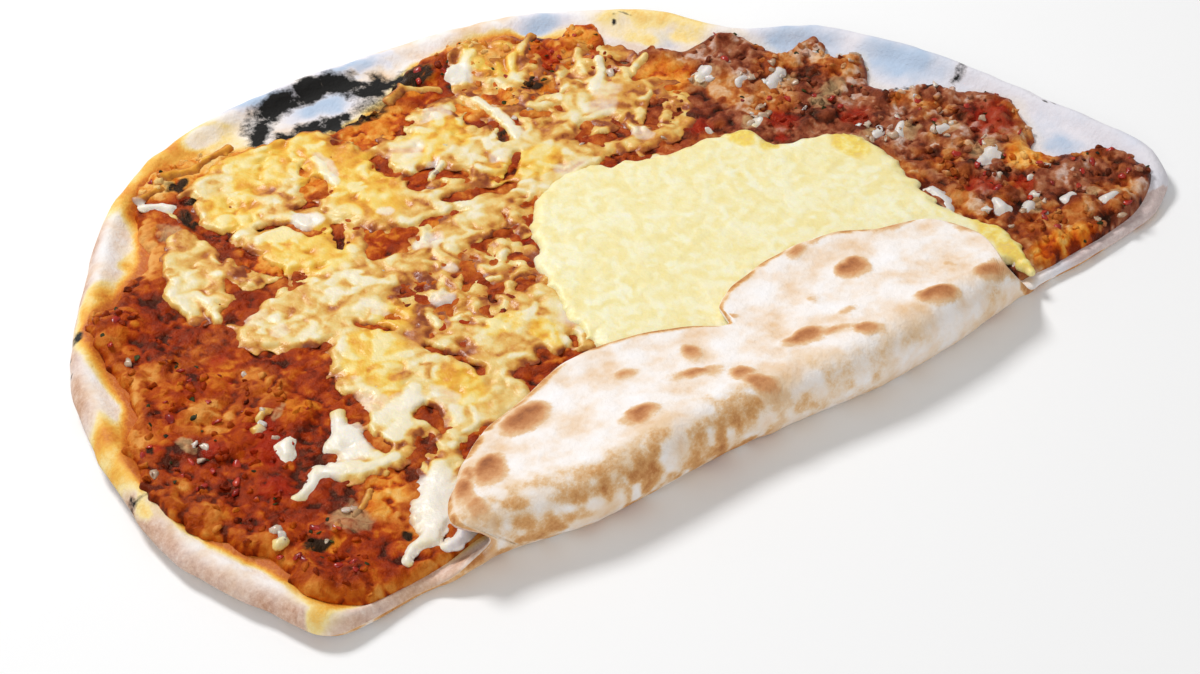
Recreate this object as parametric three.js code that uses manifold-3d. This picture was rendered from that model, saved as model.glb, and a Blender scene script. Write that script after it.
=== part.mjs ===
// Beef and cheese lahmacun: a thin oval flatbread spread with minced beef and cheese,
// with its near side folded over the filling. All lengths are millimetres and +Z is up.
// X runs along the fold, Y from the fold to the far rim, and the underside lies at Z = 0.
import * as THREE from "three";
import { mergeVertices } from "three/addons/utils/BufferGeometryUtils.js";
import Module from "manifold-3d";

// The dough
const DOUGH = 3.4; // thickness of the rolled-out sheet
const RIM_RISE = 2.2; // how far the baked rim stands above the sheet
const RIM_WIDTH = 10.5; // breadth of that raised rim
const RIM_LIFT = 2.4; // height of the rim's underside above the table
const RIM_LIFT_WIDTH = 34; // over which the sheet climbs to it
const HUB = [125, 65]; // the middle of the sheet, from which its edge is measured

// The fold
const FOLD_RADIUS = 8.2; // outside radius of the turn
const FOLD_EASE = 5; // length over which the sheet leaves the table
const FLAP_DROOP = 0.23; // how much further than half a turn the dough bends, in radians
const FLAP_SETTLE = 40; // length over which the flap comes level again
const FLAP_PUFF = 1.3; // rise of the two blistered halves of the flap

// The filling
const MEAT = 2.2; // depth of the minced beef under its lumps
const LUMP = [0.8, 2.0]; // height of a lump of mince, least and most
const LUMP_RADIUS = [4.5, 8];
const MEAT_MARGIN = 12.2; // least bare dough between the meat and the edge
const MELT = 1.7; // thickness of the melted grated cheese
const SLAB = 2.1; // thickness of the smooth patch of melted cheese
const PACKED = 3; // extra depth of mince pressed into the fold
const GAP = 0.3; // clearance between layers that touch

// Edge of the dough before it is folded, seen from above and anticlockwise: the free rim first,
// then, below Y = 0, the parts that turn up or over. The two lobes of the flap meet at a split.
const FREE_RIM = [
  [277.5, 17], [275, 30], [268.5, 52], [257, 84.5], [240, 114.5], [217.5, 131.5], [203, 155],
  [165, 176.5], [106, 185], [60.5, 182.5], [33.5, 170.5], [3, 135.5], [-16, 103], [-23, 62],
  [-22.5, 38], [-12, 11], [-3.5, -3],
];
const TURNED_EDGE = [
  [22, -2.5], [31, -8], [38.5, -12.5], [32, -23], [45.5, -40], [61.5, -57], [90, -66],
  [119, -61.5], [131, -57], [133.6, -64.7], [148, -73.3], [165.5, -75.3], [179, -70.6],
  [187.5, -64], [202, -54.3], [206, -39.3], [201.6, -25], [207.5, -13], [214, -7.2],
  [230, -6.8], [248, -5.2], [263, -2.2], [274, 5],
];
const SPLIT = -87; // bearing of that split from the hub, in degrees

// Edge of the minced beef; its near side is cut short at the fold
const MEAT_EDGE = [
  [268, 6], [268, 15], [262, 23], [255, 27], [250, 33], [255, 42], [259, 52], [252, 64],
  [245, 73], [236, 77], [234, 86], [239, 96], [231, 101], [232, 110], [221, 112], [214, 126],
  [203, 129], [192, 135], [181, 139], [184, 154], [171, 159], [157, 168], [141, 171],
  [126, 168], [113, 160], [95, 159], [75, 165], [58, 169], [42, 167], [31, 156], [24, 138],
  [9, 128], [-2, 121], [-3, 108], [-5, 92], [-9, 83], [-15, 74], [-17, 60], [-15, 45],
  [-9, 33], [-4, 22], [-4, 9], [4, 2], [18, -5], [60, -14], [125, -18], [200, -14], [250, -7],
];

// Edge of the smooth cheese patch, whose near half lies under the flap
const SLAB_HUB = [156, 48];
const SLAB_EDGE = [
  [210, 33], [212, 56], [210, 70], [200, 74], [189, 79], [189, 86], [178, 90], [163, 91],
  [150, 97], [135, 101], [122, 95], [113, 81], [107, 68], [102, 52], [104, 28], [118, 10],
  [150, 7], [182, 9], [196, 10], [212, 1], [217, 6], [216.5, 15], [212, 26],
];

// Pools of melted cheese: centre, half length, half breadth and turn in degrees
const POOLS = [
  [60, 149, 18, 10, 8], [86, 138, 12, 26, 4], [112, 140, 16, 9, 20], [56, 60, 15, 25, 8],
  [35, 18, 20, 7, 62], [38, 44, 15, 9, 20], [53, 94, 24, 12, -6], [60, 116, 18, 15, 0],
  [92, 94, 20, 10, 0], [90, 72, 20, 14, 0], [90, 53, 22, 11, 8], [32, 126, 10, 20, -14],
  [130, 111, 22, 14, 0], [166, 112, 21, 17, 0], [124, 126, 13, 9, 0], [152, 121, 13, 8, 0],
];
// Holes that show the meat: centre and radius
const HOLES = [
  [53, 43, 4.8], [80, 137, 4.6], [41, 145, 4.2], [46, 119, 4.4], [75, 117, 3.6], [73, 58, 3.6],
  [77, 68, 4.6], [88, 43, 4.4], [41, 33, 4.2], [105, 123, 4.6], [110, 114, 5.4], [118, 109, 5.4],
  [93, 106, 5], [146, 129, 5], [156, 110, 5], [152, 97, 4], [173, 113, 4.2], [174, 94, 4.4],
  [63, 79, 3.6], [36, 55, 3.6], [62, 128, 3.6],
];
// Pieces of grated cheese that lie on the bare meat: centre, length and turn in degrees
const STRAYS = [
  [17, 54, 9, 62], [16, 41, 13, 33], [-1, 26, 6, 10], [-1, 67, 8, 120], [24, 27, 10, 30],
  [137, 136, 14, 86], [140, 157, 9, 20], [152, 150, 14, 70], [217, 36, 10, 74],
  [237, 39, 10, 12], [224, 62, 7, 40], [218.5, 66, 7, 10], [210, 100, 10, 30], [196, 116, 8, 10],
  [196, 91, 7, 0], [229, 15, 7, 20], [241, 12, 7, 10], [234, 55, 7, 0],
];

// Random numbers that come out the same every time
function dice(seed) {
  let state = seed;
  return () => {
    state = (state + 0x6d2b79f5) | 0;
    let t = Math.imul(state ^ (state >>> 15), 1 | state);
    t = (t + Math.imul(t ^ (t >>> 7), 61 | t)) ^ t;
    return ((t ^ (t >>> 14)) >>> 0) / 4294967296;
  };
}

const bump = (t) => Math.exp(-t * t);
const smooth = (t) => {
  const c = THREE.MathUtils.clamp(t, 0, 1);
  return c * c * (3 - 2 * c);
};
const rad = THREE.MathUtils.degToRad;

// Distance from a hub to a closed outline along each bearing, as a function of the bearing
function polarOutline(points, [hubX, hubY]) {
  const curve = new THREE.CatmullRomCurve3(
    points.map(([x, y]) => new THREE.Vector3(x - hubX, y - hubY, 0)), true, "centripetal");
  const samples = curve.getPoints(points.length * 40).slice(0, -1)
    .map((p) => [Math.atan2(p.y, p.x), Math.hypot(p.x, p.y)])
    .sort((a, b) => a[0] - b[0]);
  const first = samples[0];
  const last = samples[samples.length - 1];
  samples.push([first[0] + 2 * Math.PI, first[1]]);
  samples.unshift([last[0] - 2 * Math.PI, last[1]]);
  return (bearing) => {
    const a = Math.atan2(Math.sin(bearing), Math.cos(bearing));
    let low = 0;
    let high = samples.length - 1;
    while (high - low > 1) {
      const middle = (low + high) >> 1;
      if (samples[middle][0] <= a) low = middle;
      else high = middle;
    }
    const [a0, r0] = samples[low];
    const [a1, r1] = samples[high];
    return r0 + (r1 - r0) * (a - a0) / Math.max(a1 - a0, 1e-9);
  };
}

const edgeAt = polarOutline([...FREE_RIM, ...TURNED_EDGE], HUB);

// Y of the line along which the sheet starts to turn up
const foldLine = (x) => 2.9 - 6.7 * bump((x - 160) / 45) - 3 * bump((x - 70) / 30)
  + 3.5 * bump((x - 42) / 18) - 3.5 * smooth((x - 204) / 14);

// Path of the sheet's underside through the turn, as [Y, Z, heading] at each half millimetre
const PATH_STEP = 0.5;
const path = [[0, 0, 0]];
for (let i = 1; i < 220; i++) {
  const heading = (s) => {
    const rising = s < FOLD_EASE ? (s * s) / (2 * FOLD_EASE * FOLD_RADIUS)
      : (s - FOLD_EASE / 2) / FOLD_RADIUS;
    const turned = FOLD_EASE / 2 + (Math.PI + FLAP_DROOP) * FOLD_RADIUS;
    return Math.min(rising, Math.PI + FLAP_DROOP * (1 - smooth((s - turned) / FLAP_SETTLE)));
  };
  const halfway = heading((i - 0.5) * PATH_STEP);
  const [y, z] = path[i - 1];
  path.push([y - Math.cos(halfway) * PATH_STEP, z + Math.sin(halfway) * PATH_STEP,
    heading(i * PATH_STEP)]);
}

// 1 round the free rim, 0 where the edge is turned up or over
function freeShare(bearing) {
  const a = THREE.MathUtils.radToDeg(Math.atan2(Math.sin(bearing), Math.cos(bearing)));
  return 1 - smooth((a + 156) / 10) * (1 - smooth((a + 28) / 10));
}

// Height of the sheet's underside above the table where it climbs to the rim
function rimLift(bearing, inset) {
  const uneven = 1 + 0.2 * Math.cos(2 * bearing) + 0.15 * Math.sin(5 * bearing);
  return RIM_LIFT * uneven * freeShare(bearing) * smooth(1 - inset / RIM_LIFT_WIDTH);
}

// Top and underside of the sheet, measured from its flat underside, so far inside the edge
function doughTop(bearing, inset) {
  const free = freeShare(bearing);
  const uneven = 1 + 0.22 * Math.sin(3 * bearing + 1) + 0.18 * Math.sin(11 * bearing);
  const hump = inset < RIM_WIDTH ? Math.sin(Math.PI * (inset / RIM_WIDTH) ** 0.75) ** 2 : 0;
  const body = DOUGH - 0.5 * (1 - free) * (1 - smooth(inset / 25));
  const round = Math.sqrt(1 - Math.max(0, 1 - inset / 2.6) ** 2);
  return 1.3 + (body - 1.3) * round + free * RIM_RISE * uneven * hump;
}
const doughUnder = (inset) => 1.3 * Math.max(0, 1 - inset / 2.6) ** 2;

// A point of the sheet, at a height over its underside, carried round the fold
function onSheet(x, y, height, lift) {
  const along = foldLine(x) - y;
  if (along <= 0) return new THREE.Vector3(x, y, height + lift);
  const at = Math.min(along / PATH_STEP, path.length - 2);
  const i = Math.floor(at);
  const [pathY, pathZ, heading] = [0, 1, 2].map((k) =>
    THREE.MathUtils.lerp(path[i][k], path[i + 1][k], at - i));
  const puff = FLAP_PUFF * (bump((x - 84) / 30) + bump((x - 165) / 28))
    * smooth((along - 12) / 14) * (1 - 0.6 * smooth((along - 44) / 20));
  return new THREE.Vector3(x, foldLine(x) + pathY + height * Math.sin(heading),
    pathZ + height * Math.cos(heading) + lift + puff);
}

// Height of the sheet's top where it lies open, up to the start of the turn
function tableTop(x, y) {
  const bearing = Math.atan2(y - HUB[1], x - HUB[0]);
  const inset = edgeAt(bearing) - Math.hypot(x - HUB[0], y - HUB[1]);
  const along = Math.max(0, foldLine(x) - y);
  return doughTop(bearing, inset) + rimLift(bearing, inset) + 0.02 * along ** 2;
}

// A closed mesh from its points and triangles
function meshOf(name, points, faces, material) {
  const geometry = new THREE.BufferGeometry();
  geometry.setAttribute("position", new THREE.Float32BufferAttribute(
    points.flatMap((p) => [p.x, p.y, p.z]), 3));
  geometry.setIndex(faces.flat());
  geometry.computeVertexNormals();
  const mesh = new THREE.Mesh(geometry, material);
  mesh.name = name;
  return mesh;
}

// Triangles between two rows of points, each row given as [index, position along the row]
function zip(left, right) {
  const faces = [];
  let i = 0;
  let j = 0;
  while (i < left.length - 1 || j < right.length - 1) {
    const stepLeft = j === right.length - 1
      || (i < left.length - 1 && left[i + 1][1] <= right[j + 1][1]);
    const face = stepLeft ? [left[i][0], left[i + 1][0], right[j][0]]
      : [left[i][0], right[j + 1][0], right[j][0]];
    if (new Set(face).size === 3) faces.push(face);
    if (stepLeft) i += 1;
    else j += 1;
  }
  return faces;
}

// Distances from the hub, along one bearing, at which the sheet gets a point
function stations(bearing, upper) {
  const edge = edgeAt(bearing);
  const freeInsets = upper ? [0, 0.8, 2.4, 4.8, 7.6, 10.5, 16, 23, 32, 46]
    : [0, 0.8, 2.6, 11, 22, 36];
  const insets = freeShare(bearing) > 0.02 ? freeInsets : [0, 0.7, 2.2, 5];
  const stops = insets.map((inset) => edge - inset);

  const slope = -Math.sin(bearing);
  if (slope > 0.35) {
    const outer = edge - insets[insets.length - 1];
    let toFold = HUB[1] / slope;
    for (let i = 0; i < 8; i++) {
      toFold = (HUB[1] - foldLine(HUB[0] + Math.cos(bearing) * toFold)) / slope;
    }
    const turnLength = FOLD_EASE + (Math.PI + FLAP_DROOP) * FOLD_RADIUS;
    const turnEnd = toFold + turnLength / slope;
    const onFlap = Math.max(0, Math.ceil((outer - turnEnd) / 12) - 1);
    for (let i = 1; i <= onFlap; i++) {
      stops.push(outer + ((turnEnd - outer) * i) / (onFlap + 1));
    }
    for (let i = 8; i >= 0; i--) {
      const turn = toFold + (-1 + (i / 8) * (turnLength + 1)) / slope;
      if (turn < outer - 2) stops.push(turn);
    }
  }
  for (let reach = stops[stops.length - 1] - 25; reach > 12; reach -= 34) stops.push(reach);
  return stops.reverse();
}

// Rows are matched by the distance from the edge near the edge, and from the hub elsewhere
function rowKey(edge, reach, bearing) {
  const nearEdge = freeShare(bearing) > 0.02 ? 46.5 : 5.5;
  return edge - reach < nearEdge ? 300 - (edge - reach) : reach;
}

// The folded sheet: rows of points from the hub out over the top, round the edge and back below
function breadMesh(material) {
  const bearings = [];
  for (let a = -180; a < 180;) {
    bearings.push(a);
    a += a >= -154 && a < -28 ? 2.35 : 5.8;
  }
  bearings.push(SPLIT - 0.8, SPLIT + 0.8);
  bearings.sort((a, b) => a - b);
  const spread = bearings.filter((a, i) => i === 0 || a - bearings[i - 1] > 0.75);

  const hub = new THREE.Vector3(HUB[0], HUB[1], 0);
  const points = [hub.clone().setZ(DOUGH), hub];
  const rows = spread.map((degrees) => {
    const bearing = rad(degrees);
    const edge = edgeAt(bearing);
    const row = [[0, 0]];
    const add = (reach, height, key) => {
      row.push([points.length, key]);
      points.push(onSheet(HUB[0] + reach * Math.cos(bearing), HUB[1] + reach * Math.sin(bearing),
        height, rimLift(bearing, edge - reach)));
    };
    for (const reach of stations(bearing, true)) {
      add(reach, doughTop(bearing, edge - reach), rowKey(edge, reach, bearing));
    }
    for (const reach of stations(bearing, false).reverse().slice(1)) {
      add(reach, doughUnder(edge - reach), 600 - rowKey(edge, reach, bearing));
    }
    row.push([1, 600]);
    return row;
  });
  const faces = rows.flatMap((row, i) => zip(row, rows[(i + 1) % rows.length]));
  return meshOf("bread", points, faces, material);
}

// Depth inside a pool of melted cheese, and inside the smooth patch, negative outside
function poolDepth(x, y) {
  return Math.max(...POOLS.map(([cx, cy, long, broad, turn]) => {
    const c = Math.cos(rad(turn));
    const s = Math.sin(rad(turn));
    const along = ((x - cx) * c + (y - cy) * s) / long;
    const across = ((y - cy) * c - (x - cx) * s) / broad;
    const reach = Math.hypot(along, across);
    return (1 - reach) * Math.min(long, broad) * (reach > 1 ? 1 : 0.9);
  }));
}
const slabEdge = polarOutline(SLAB_EDGE, SLAB_HUB);
const slabDepth = (x, y) => slabEdge(Math.atan2(y - SLAB_HUB[1], x - SLAB_HUB[0]))
  - Math.hypot(x - SLAB_HUB[0], y - SLAB_HUB[1]);
const ragged = (x, y) => Math.sin(x * 0.61 + 1.3 * Math.sin(y * 0.23))
  * Math.sin(y * 0.57 + 1.1 * Math.sin(x * 0.29));
function meltDepth(x, y) {
  const hole = Math.min(...HOLES.map(([cx, cy, r]) => Math.hypot(x - cx, y - cy) - r));
  return Math.min(poolDepth(x, y) + 1.6 * ragged(x, y), hole, -slabDepth(x, y) - 1.6);
}

// Lumps of mince, left out where cheese covers the meat
const throwLump = dice(11);
const lumps = Array.from({ length: 620 }, () => ({
  x: -20 + 290 * throwLump(),
  y: 180 * throwLump(),
  r: THREE.MathUtils.lerp(...LUMP_RADIUS, throwLump()),
  h: THREE.MathUtils.lerp(...LUMP, throwLump()),
}));
function lumpHeight(x, y) {
  const bare = smooth((-Math.max(poolDepth(x, y), slabDepth(x, y)) - 7) / 4);
  let top = 0;
  for (const lump of lumps) {
    const reach = Math.hypot(x - lump.x, y - lump.y) / lump.r;
    if (reach < 1) top = Math.max(top, lump.h * (1 - reach * reach));
  }
  return bare * top;
}

// How far the meat spreads from the hub: to the rim's foot, and under the flap to the fold
const meatEdge = polarOutline(MEAT_EDGE, HUB);
const pastFold = (x) => 3 - 1.5 * smooth((x - 30) / 12) * smooth((214 - x) / 10);
function meatReach(bearing) {
  let reach = Math.min(meatEdge(bearing), edgeAt(bearing) - MEAT_MARGIN);
  while (Math.sin(bearing) < 0) {
    const x = HUB[0] + reach * Math.cos(bearing);
    if (HUB[1] + reach * Math.sin(bearing) > foldLine(x) - pastFold(x)) break;
    reach -= 0.1;
  }
  return reach;
}
const meatFloor = (x, y) => tableTop(x, y) + GAP + 0.15;
const packed = (x, y) => PACKED * smooth((x - 50) / 12) * smooth((204 - x) / 12)
  * smooth((foldLine(x) + 8.5 - y) / 5);
const meatTop = (x, y) => meatFloor(x, y) + MEAT + packed(x, y);
const cheeseFloor = (x, y) => meatTop(x, y) + GAP;

// A spread layer: rings of points from the middle to its edge on top, and wider ones below
function spreadMesh(name, hub, reachAt, spacing, topAt, floorAt, material) {
  const points = [];
  const ring = (share, count, heightAt) => {
    const row = [];
    for (let i = 0; i <= count; i++) {
      const bearing = (2 * Math.PI * i) / count;
      row.push([i === count ? row[0][0] : points.length, i / count]);
      if (i === count) break;
      const x = hub[0] + share * reachAt(bearing) * Math.cos(bearing);
      const y = hub[1] + share * reachAt(bearing) * Math.sin(bearing);
      points.push(new THREE.Vector3(x, y, heightAt(x, y)));
    }
    return row;
  };
  let mean = 0;
  for (let a = 0; a < 360; a += 5) mean += reachAt(rad(a)) / 72;
  const rings = Math.round(mean / spacing);
  const rows = [ring(0, 1, topAt)];
  for (let i = 1; i < rings; i++) {
    const share = (i - 0.35 * (i / rings)) / (rings - 0.35);
    rows.push(ring(share, Math.max(5, Math.round((2 * Math.PI * mean * share) / spacing)), topAt));
  }
  const around = Math.round((2 * Math.PI * mean) / spacing);
  rows.push(ring(1, around, (x, y) => floorAt(x, y) + 0.7));
  rows.push(ring(0.995, around, floorAt));
  for (const [share, part] of [[0.93, 0.5], [0.82, 0.35], [0.6, 0.2], [0.3, 0.1]]) {
    rows.push(ring(share, Math.max(5, Math.round(around * part)), floorAt));
  }
  rows.push(ring(0, 1, floorAt));
  const faces = rows.slice(1).flatMap((row, i) => zip(row, rows[i]).map(([a, b, c]) => [a, b, c]));
  return meshOf(name, points, faces, material);
}

// A ragged layer with holes: a net of triangles, cut where the depth function reaches nought
function raggedMesh(name, [x0, y0, x1, y1], pitch, depthAt, topAt, floorAt, material) {
  const rise = (pitch * Math.sqrt(3)) / 2;
  const columns = Math.ceil((x1 - x0) / pitch);
  const lines = Math.ceil((y1 - y0) / rise);
  const nodes = [];
  for (let j = 0; j <= lines; j++) {
    for (let i = 0; i <= columns; i++) {
      const x = x0 + (i + (j % 2) / 2) * pitch;
      const y = y0 + j * rise;
      nodes.push({ x, y, depth: depthAt(x, y) });
    }
  }
  const flat = [];
  const found = new Map();
  const corner = (a, b) => {
    const key = a < b ? `${a}-${b}` : `${b}-${a}`;
    if (!found.has(key)) {
      const [p, q] = a < b ? [nodes[a], nodes[b]] : [nodes[b], nodes[a]];
      const share = a === b ? 0
        : THREE.MathUtils.clamp(p.depth / (p.depth - q.depth), 0.16, 0.84);
      found.set(key, flat.length);
      flat.push({ x: p.x + (q.x - p.x) * share, y: p.y + (q.y - p.y) * share, rim: a !== b });
    }
    return found.get(key);
  };
  const cells = [];
  const cut = (trio) => {
    const outline = [];
    trio.forEach((a, k) => {
      const b = trio[(k + 1) % 3];
      if (nodes[a].depth > 0) outline.push(corner(a, a));
      if (nodes[a].depth > 0 !== nodes[b].depth > 0) outline.push(corner(a, b));
    });
    for (let k = 2; k < outline.length; k++) cells.push([outline[0], outline[k - 1], outline[k]]);
  };
  for (let j = 0; j < lines; j++) {
    for (let i = 0; i < columns; i++) {
      const a = j * (columns + 1) + i;
      const c = a + columns + 1;
      if (j % 2) {
        cut([a, c + 1, c]);
        cut([a, a + 1, c + 1]);
      } else {
        cut([a, a + 1, c]);
        cut([a + 1, c + 1, c]);
      }
    }
  }

  // the largest connected sheet is kept
  const parent = flat.map((_, i) => i);
  const root = (i) => {
    while (parent[i] !== i) i = parent[i];
    return i;
  };
  for (const [a, b, c] of cells) {
    parent[root(b)] = root(a);
    parent[root(c)] = root(a);
  }
  const sizes = new Map();
  for (const cell of cells) sizes.set(root(cell[0]), (sizes.get(root(cell[0])) ?? 0) + 1);
  const largest = [...sizes].sort((a, b) => b[1] - a[1])[0][0];
  const kept = cells.filter((cell) => root(cell[0]) === largest);

  const points = [
    ...flat.map((p) => new THREE.Vector3(p.x, p.y, p.rim ? floorAt(p.x, p.y) + 0.7 : topAt(p.x, p.y))),
    ...flat.map((p) => new THREE.Vector3(p.x, p.y, floorAt(p.x, p.y))),
  ];
  const below = flat.length;
  const faces = [];
  const edges = new Map();
  for (const [a, b, c] of kept) {
    faces.push([a, b, c], [a + below, c + below, b + below]);
    for (const [p, q] of [[a, b], [b, c], [c, a]]) edges.set(`${p}-${q}`, [p, q]);
  }
  for (const [p, q] of edges.values()) {
    if (edges.has(`${q}-${p}`)) continue;
    faces.push([p, p + below, q], [q, p + below, q + below]);
  }
  const used = [...new Set(faces.flat())];
  const renumber = new Map(used.map((old, i) => [old, i]));
  return meshOf(name, used.map((i) => points[i]),
    faces.map((face) => face.map((i) => renumber.get(i))), material);
}

// Joining solids
const wasm = await Module();
wasm.setup();
function toManifold(geometry) {
  const bare = geometry.clone();
  bare.deleteAttribute("normal");
  bare.deleteAttribute("uv");
  const merged = mergeVertices(bare, 1e-4);
  return new wasm.Manifold(new wasm.Mesh({
    numProp: 3,
    vertProperties: new Float32Array(merged.attributes.position.array),
    triVerts: new Uint32Array(merged.index.array),
  }));
}
function fromManifold(solid) {
  const { vertProperties, triVerts } = solid.getMesh();
  const geometry = new THREE.BufferGeometry();
  geometry.setAttribute("position", new THREE.BufferAttribute(vertProperties, 3));
  geometry.setIndex(new THREE.BufferAttribute(triVerts, 1));
  geometry.computeVertexNormals();
  return geometry;
}

// Materials
const crust = new THREE.MeshStandardMaterial({ color: 0xf3e3d3, roughness: 0.85, metalness: 0 });
const mince = new THREE.MeshStandardMaterial({ color: 0xa8481c, roughness: 0.6, metalness: 0 });
const cheese = new THREE.MeshStandardMaterial({ color: 0xf4e6a0, roughness: 0.4, metalness: 0 });
const browned = new THREE.MeshStandardMaterial({ color: 0xf2cc70, roughness: 0.4, metalness: 0 });

const bread = breadMesh(crust);

// Minced beef, with the stray pieces of cheese pressed into it
const meat = spreadMesh("minced_beef", HUB, meatReach, 5.2,
  (x, y) => meatTop(x, y) + lumpHeight(x, y), meatFloor, mince);
let topped = toManifold(meat.geometry);
for (const [x, y, length, turn] of STRAYS) {
  const shred = new THREE.CapsuleGeometry(1.7, length - 3.4, 2, 6)
    .rotateZ(rad(turn - 90))
    .translate(x, y, meatTop(x, y) + lumpHeight(x, y) + 0.4);
  topped = topped.add(toManifold(shred));
}
meat.geometry = fromManifold(topped);

// Smooth cheese patch and the net of melted grated cheese
const patch = spreadMesh("cheese_patch", SLAB_HUB,
  (bearing) => slabEdge(bearing) + 0.8 * Math.sin(bearing * 13),
  6.4, (x, y) => cheeseFloor(x, y) + SLAB + 0.35 * ragged(x, y), cheeseFloor, cheese);
const melt = raggedMesh("grated_cheese", [10, -2, 200, 172], 5.2, meltDepth,
  (x, y) => cheeseFloor(x, y) + MELT + 0.3 * ragged(y, x), cheeseFloor, browned);

// The origin is under the middle of the bread
const lahmacun = new THREE.Group();
lahmacun.add(bread, meat, patch, melt);
const extent = new THREE.Box3().setFromObject(bread);
const middle = extent.getCenter(new THREE.Vector3());
for (const piece of lahmacun.children) piece.position.set(-middle.x, -middle.y, 0);

export default lahmacun;
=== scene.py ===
# Beef and cheese lahmacun: a thin oval flatbread spread with minced beef and cheese, its near
# side folded over the filling. Sizes in the sections are millimetres, laid out with X along the
# fold and Y from the fold to the far rim, and are moved to the part's own frame in metres.
import math

import bpy
import numpy as np
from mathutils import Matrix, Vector


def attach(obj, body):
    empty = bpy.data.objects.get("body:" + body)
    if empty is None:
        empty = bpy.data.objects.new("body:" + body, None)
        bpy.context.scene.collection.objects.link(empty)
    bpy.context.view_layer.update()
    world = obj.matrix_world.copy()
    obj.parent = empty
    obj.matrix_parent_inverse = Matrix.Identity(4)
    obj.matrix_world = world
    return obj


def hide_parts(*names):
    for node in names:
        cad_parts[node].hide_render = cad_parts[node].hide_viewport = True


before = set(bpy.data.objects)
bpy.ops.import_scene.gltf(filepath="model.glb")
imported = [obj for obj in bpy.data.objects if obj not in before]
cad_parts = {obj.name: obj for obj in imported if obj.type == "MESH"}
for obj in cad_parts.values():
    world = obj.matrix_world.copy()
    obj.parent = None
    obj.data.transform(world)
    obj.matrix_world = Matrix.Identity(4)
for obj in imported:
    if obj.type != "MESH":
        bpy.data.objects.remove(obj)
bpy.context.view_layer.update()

# Camera
# Seen from the front left, 42 degrees above the table, as the photograph shows the bread.
MIDDLE = np.array([126.379, 85.439])  # the part's origin, on the layout that the sections use
AIM = (108.65, 47.86)  # the point of the layout that the camera looks at
DISTANCE = 682.1
LEFT_OF_SQUARE, ABOVE_TABLE, FIELD = 36.18, 42, 26  # degrees
SENSOR = 36

camera_data = bpy.data.cameras.new("camera")
camera_data.sensor_width = SENSOR
camera_data.lens = SENSOR / 2 / math.tan(math.radians(FIELD / 2))
camera = bpy.data.objects.new("camera", camera_data)
bpy.context.scene.collection.objects.link(camera)
across, down = math.radians(LEFT_OF_SQUARE), math.radians(ABOVE_TABLE)
sight = Vector((math.sin(across) * math.cos(down), math.cos(across) * math.cos(down),
                -math.sin(down)))
aim = Vector(((AIM[0] - MIDDLE[0]) / 1000, (AIM[1] - MIDDLE[1]) / 1000, 0))
camera.location = aim - DISTANCE / 1000 * sight
camera.rotation_euler = sight.to_track_quat("-Z", "Y").to_euler()
bpy.context.scene.camera = camera

# Flatbread
# One sheet of wheat dough, rolled thin by hand, baked on a hot stone and folded while warm.
# Its edge is a soft raised rim; the part folded over shows the floured, spotted underside.
DOUGH = 3.4
EDGE_RISE, EDGE_ROUND = 1.3, 2.6  # height of the rounded outer edge's middle, and its width
RIM_RISE, RIM_WIDTH = 2.2, 10.5
RIM_LIFT, RIM_LIFT_WIDTH = 2.4, 34  # how far the rim stands off the table, and over what width
HUB = (125, 65)  # the outlines are distances from here
FOLD_RADIUS, FOLD_EASE = 8.2, 5
FLAP_DROOP, FLAP_SETTLE, FLAP_PUFF = 0.23, 40, 1.3  # the flap turns past level, in radians
DOUGH_EDGE = [  # the sheet laid flat: its right end, far rim, left end, then the flap's two lobes
    (277.5, 17), (275, 30), (268.5, 52), (257, 84.5), (240, 114.5), (217.5, 131.5), (203, 155),
    (165, 176.5), (106, 185), (60.5, 182.5), (33.5, 170.5), (3, 135.5), (-16, 103), (-23, 62),
    (-22.5, 38), (-12, 11), (-3.5, -3), (22, -2.5), (31, -8), (38.5, -12.5), (32, -23),
    (45.5, -40), (61.5, -57), (90, -66), (119, -61.5), (131, -57), (133.6, -64.7), (148, -73.3),
    (165.5, -75.3), (179, -70.6), (187.5, -64), (202, -54.3), (206, -39.3), (201.6, -25),
    (207.5, -13), (214, -7.2), (230, -6.8), (248, -5.2), (263, -2.2), (274, 5),
]
FILLING_EDGE = [  # where the mince ends
    (268, 6), (268, 15), (262, 23), (255, 27), (250, 33), (255, 42), (259, 52), (252, 64),
    (245, 73), (236, 77), (234, 86), (239, 96), (231, 101), (232, 110), (221, 112), (214, 126),
    (203, 129), (192, 135), (181, 139), (184, 154), (171, 159), (157, 168), (141, 171),
    (126, 168), (113, 160), (95, 159), (75, 165), (58, 169), (42, 167), (31, 156), (24, 138),
    (9, 128), (-2, 121), (-3, 108), (-5, 92), (-9, 83), (-15, 74), (-17, 60), (-15, 45),
    (-9, 33), (-4, 22), (-4, 9), (4, 2), (18, -5), (60, -14), (125, -18), (200, -14), (250, -7),
]


def bump(t):
    """A bell: 1 at 0, falling away on both sides."""
    return np.exp(-np.square(t))


def smooth(t):
    """A soft step from 0 at 0 to 1 at 1."""
    c = np.clip(t, 0, 1)
    return c * c * (3 - 2 * c)


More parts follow.
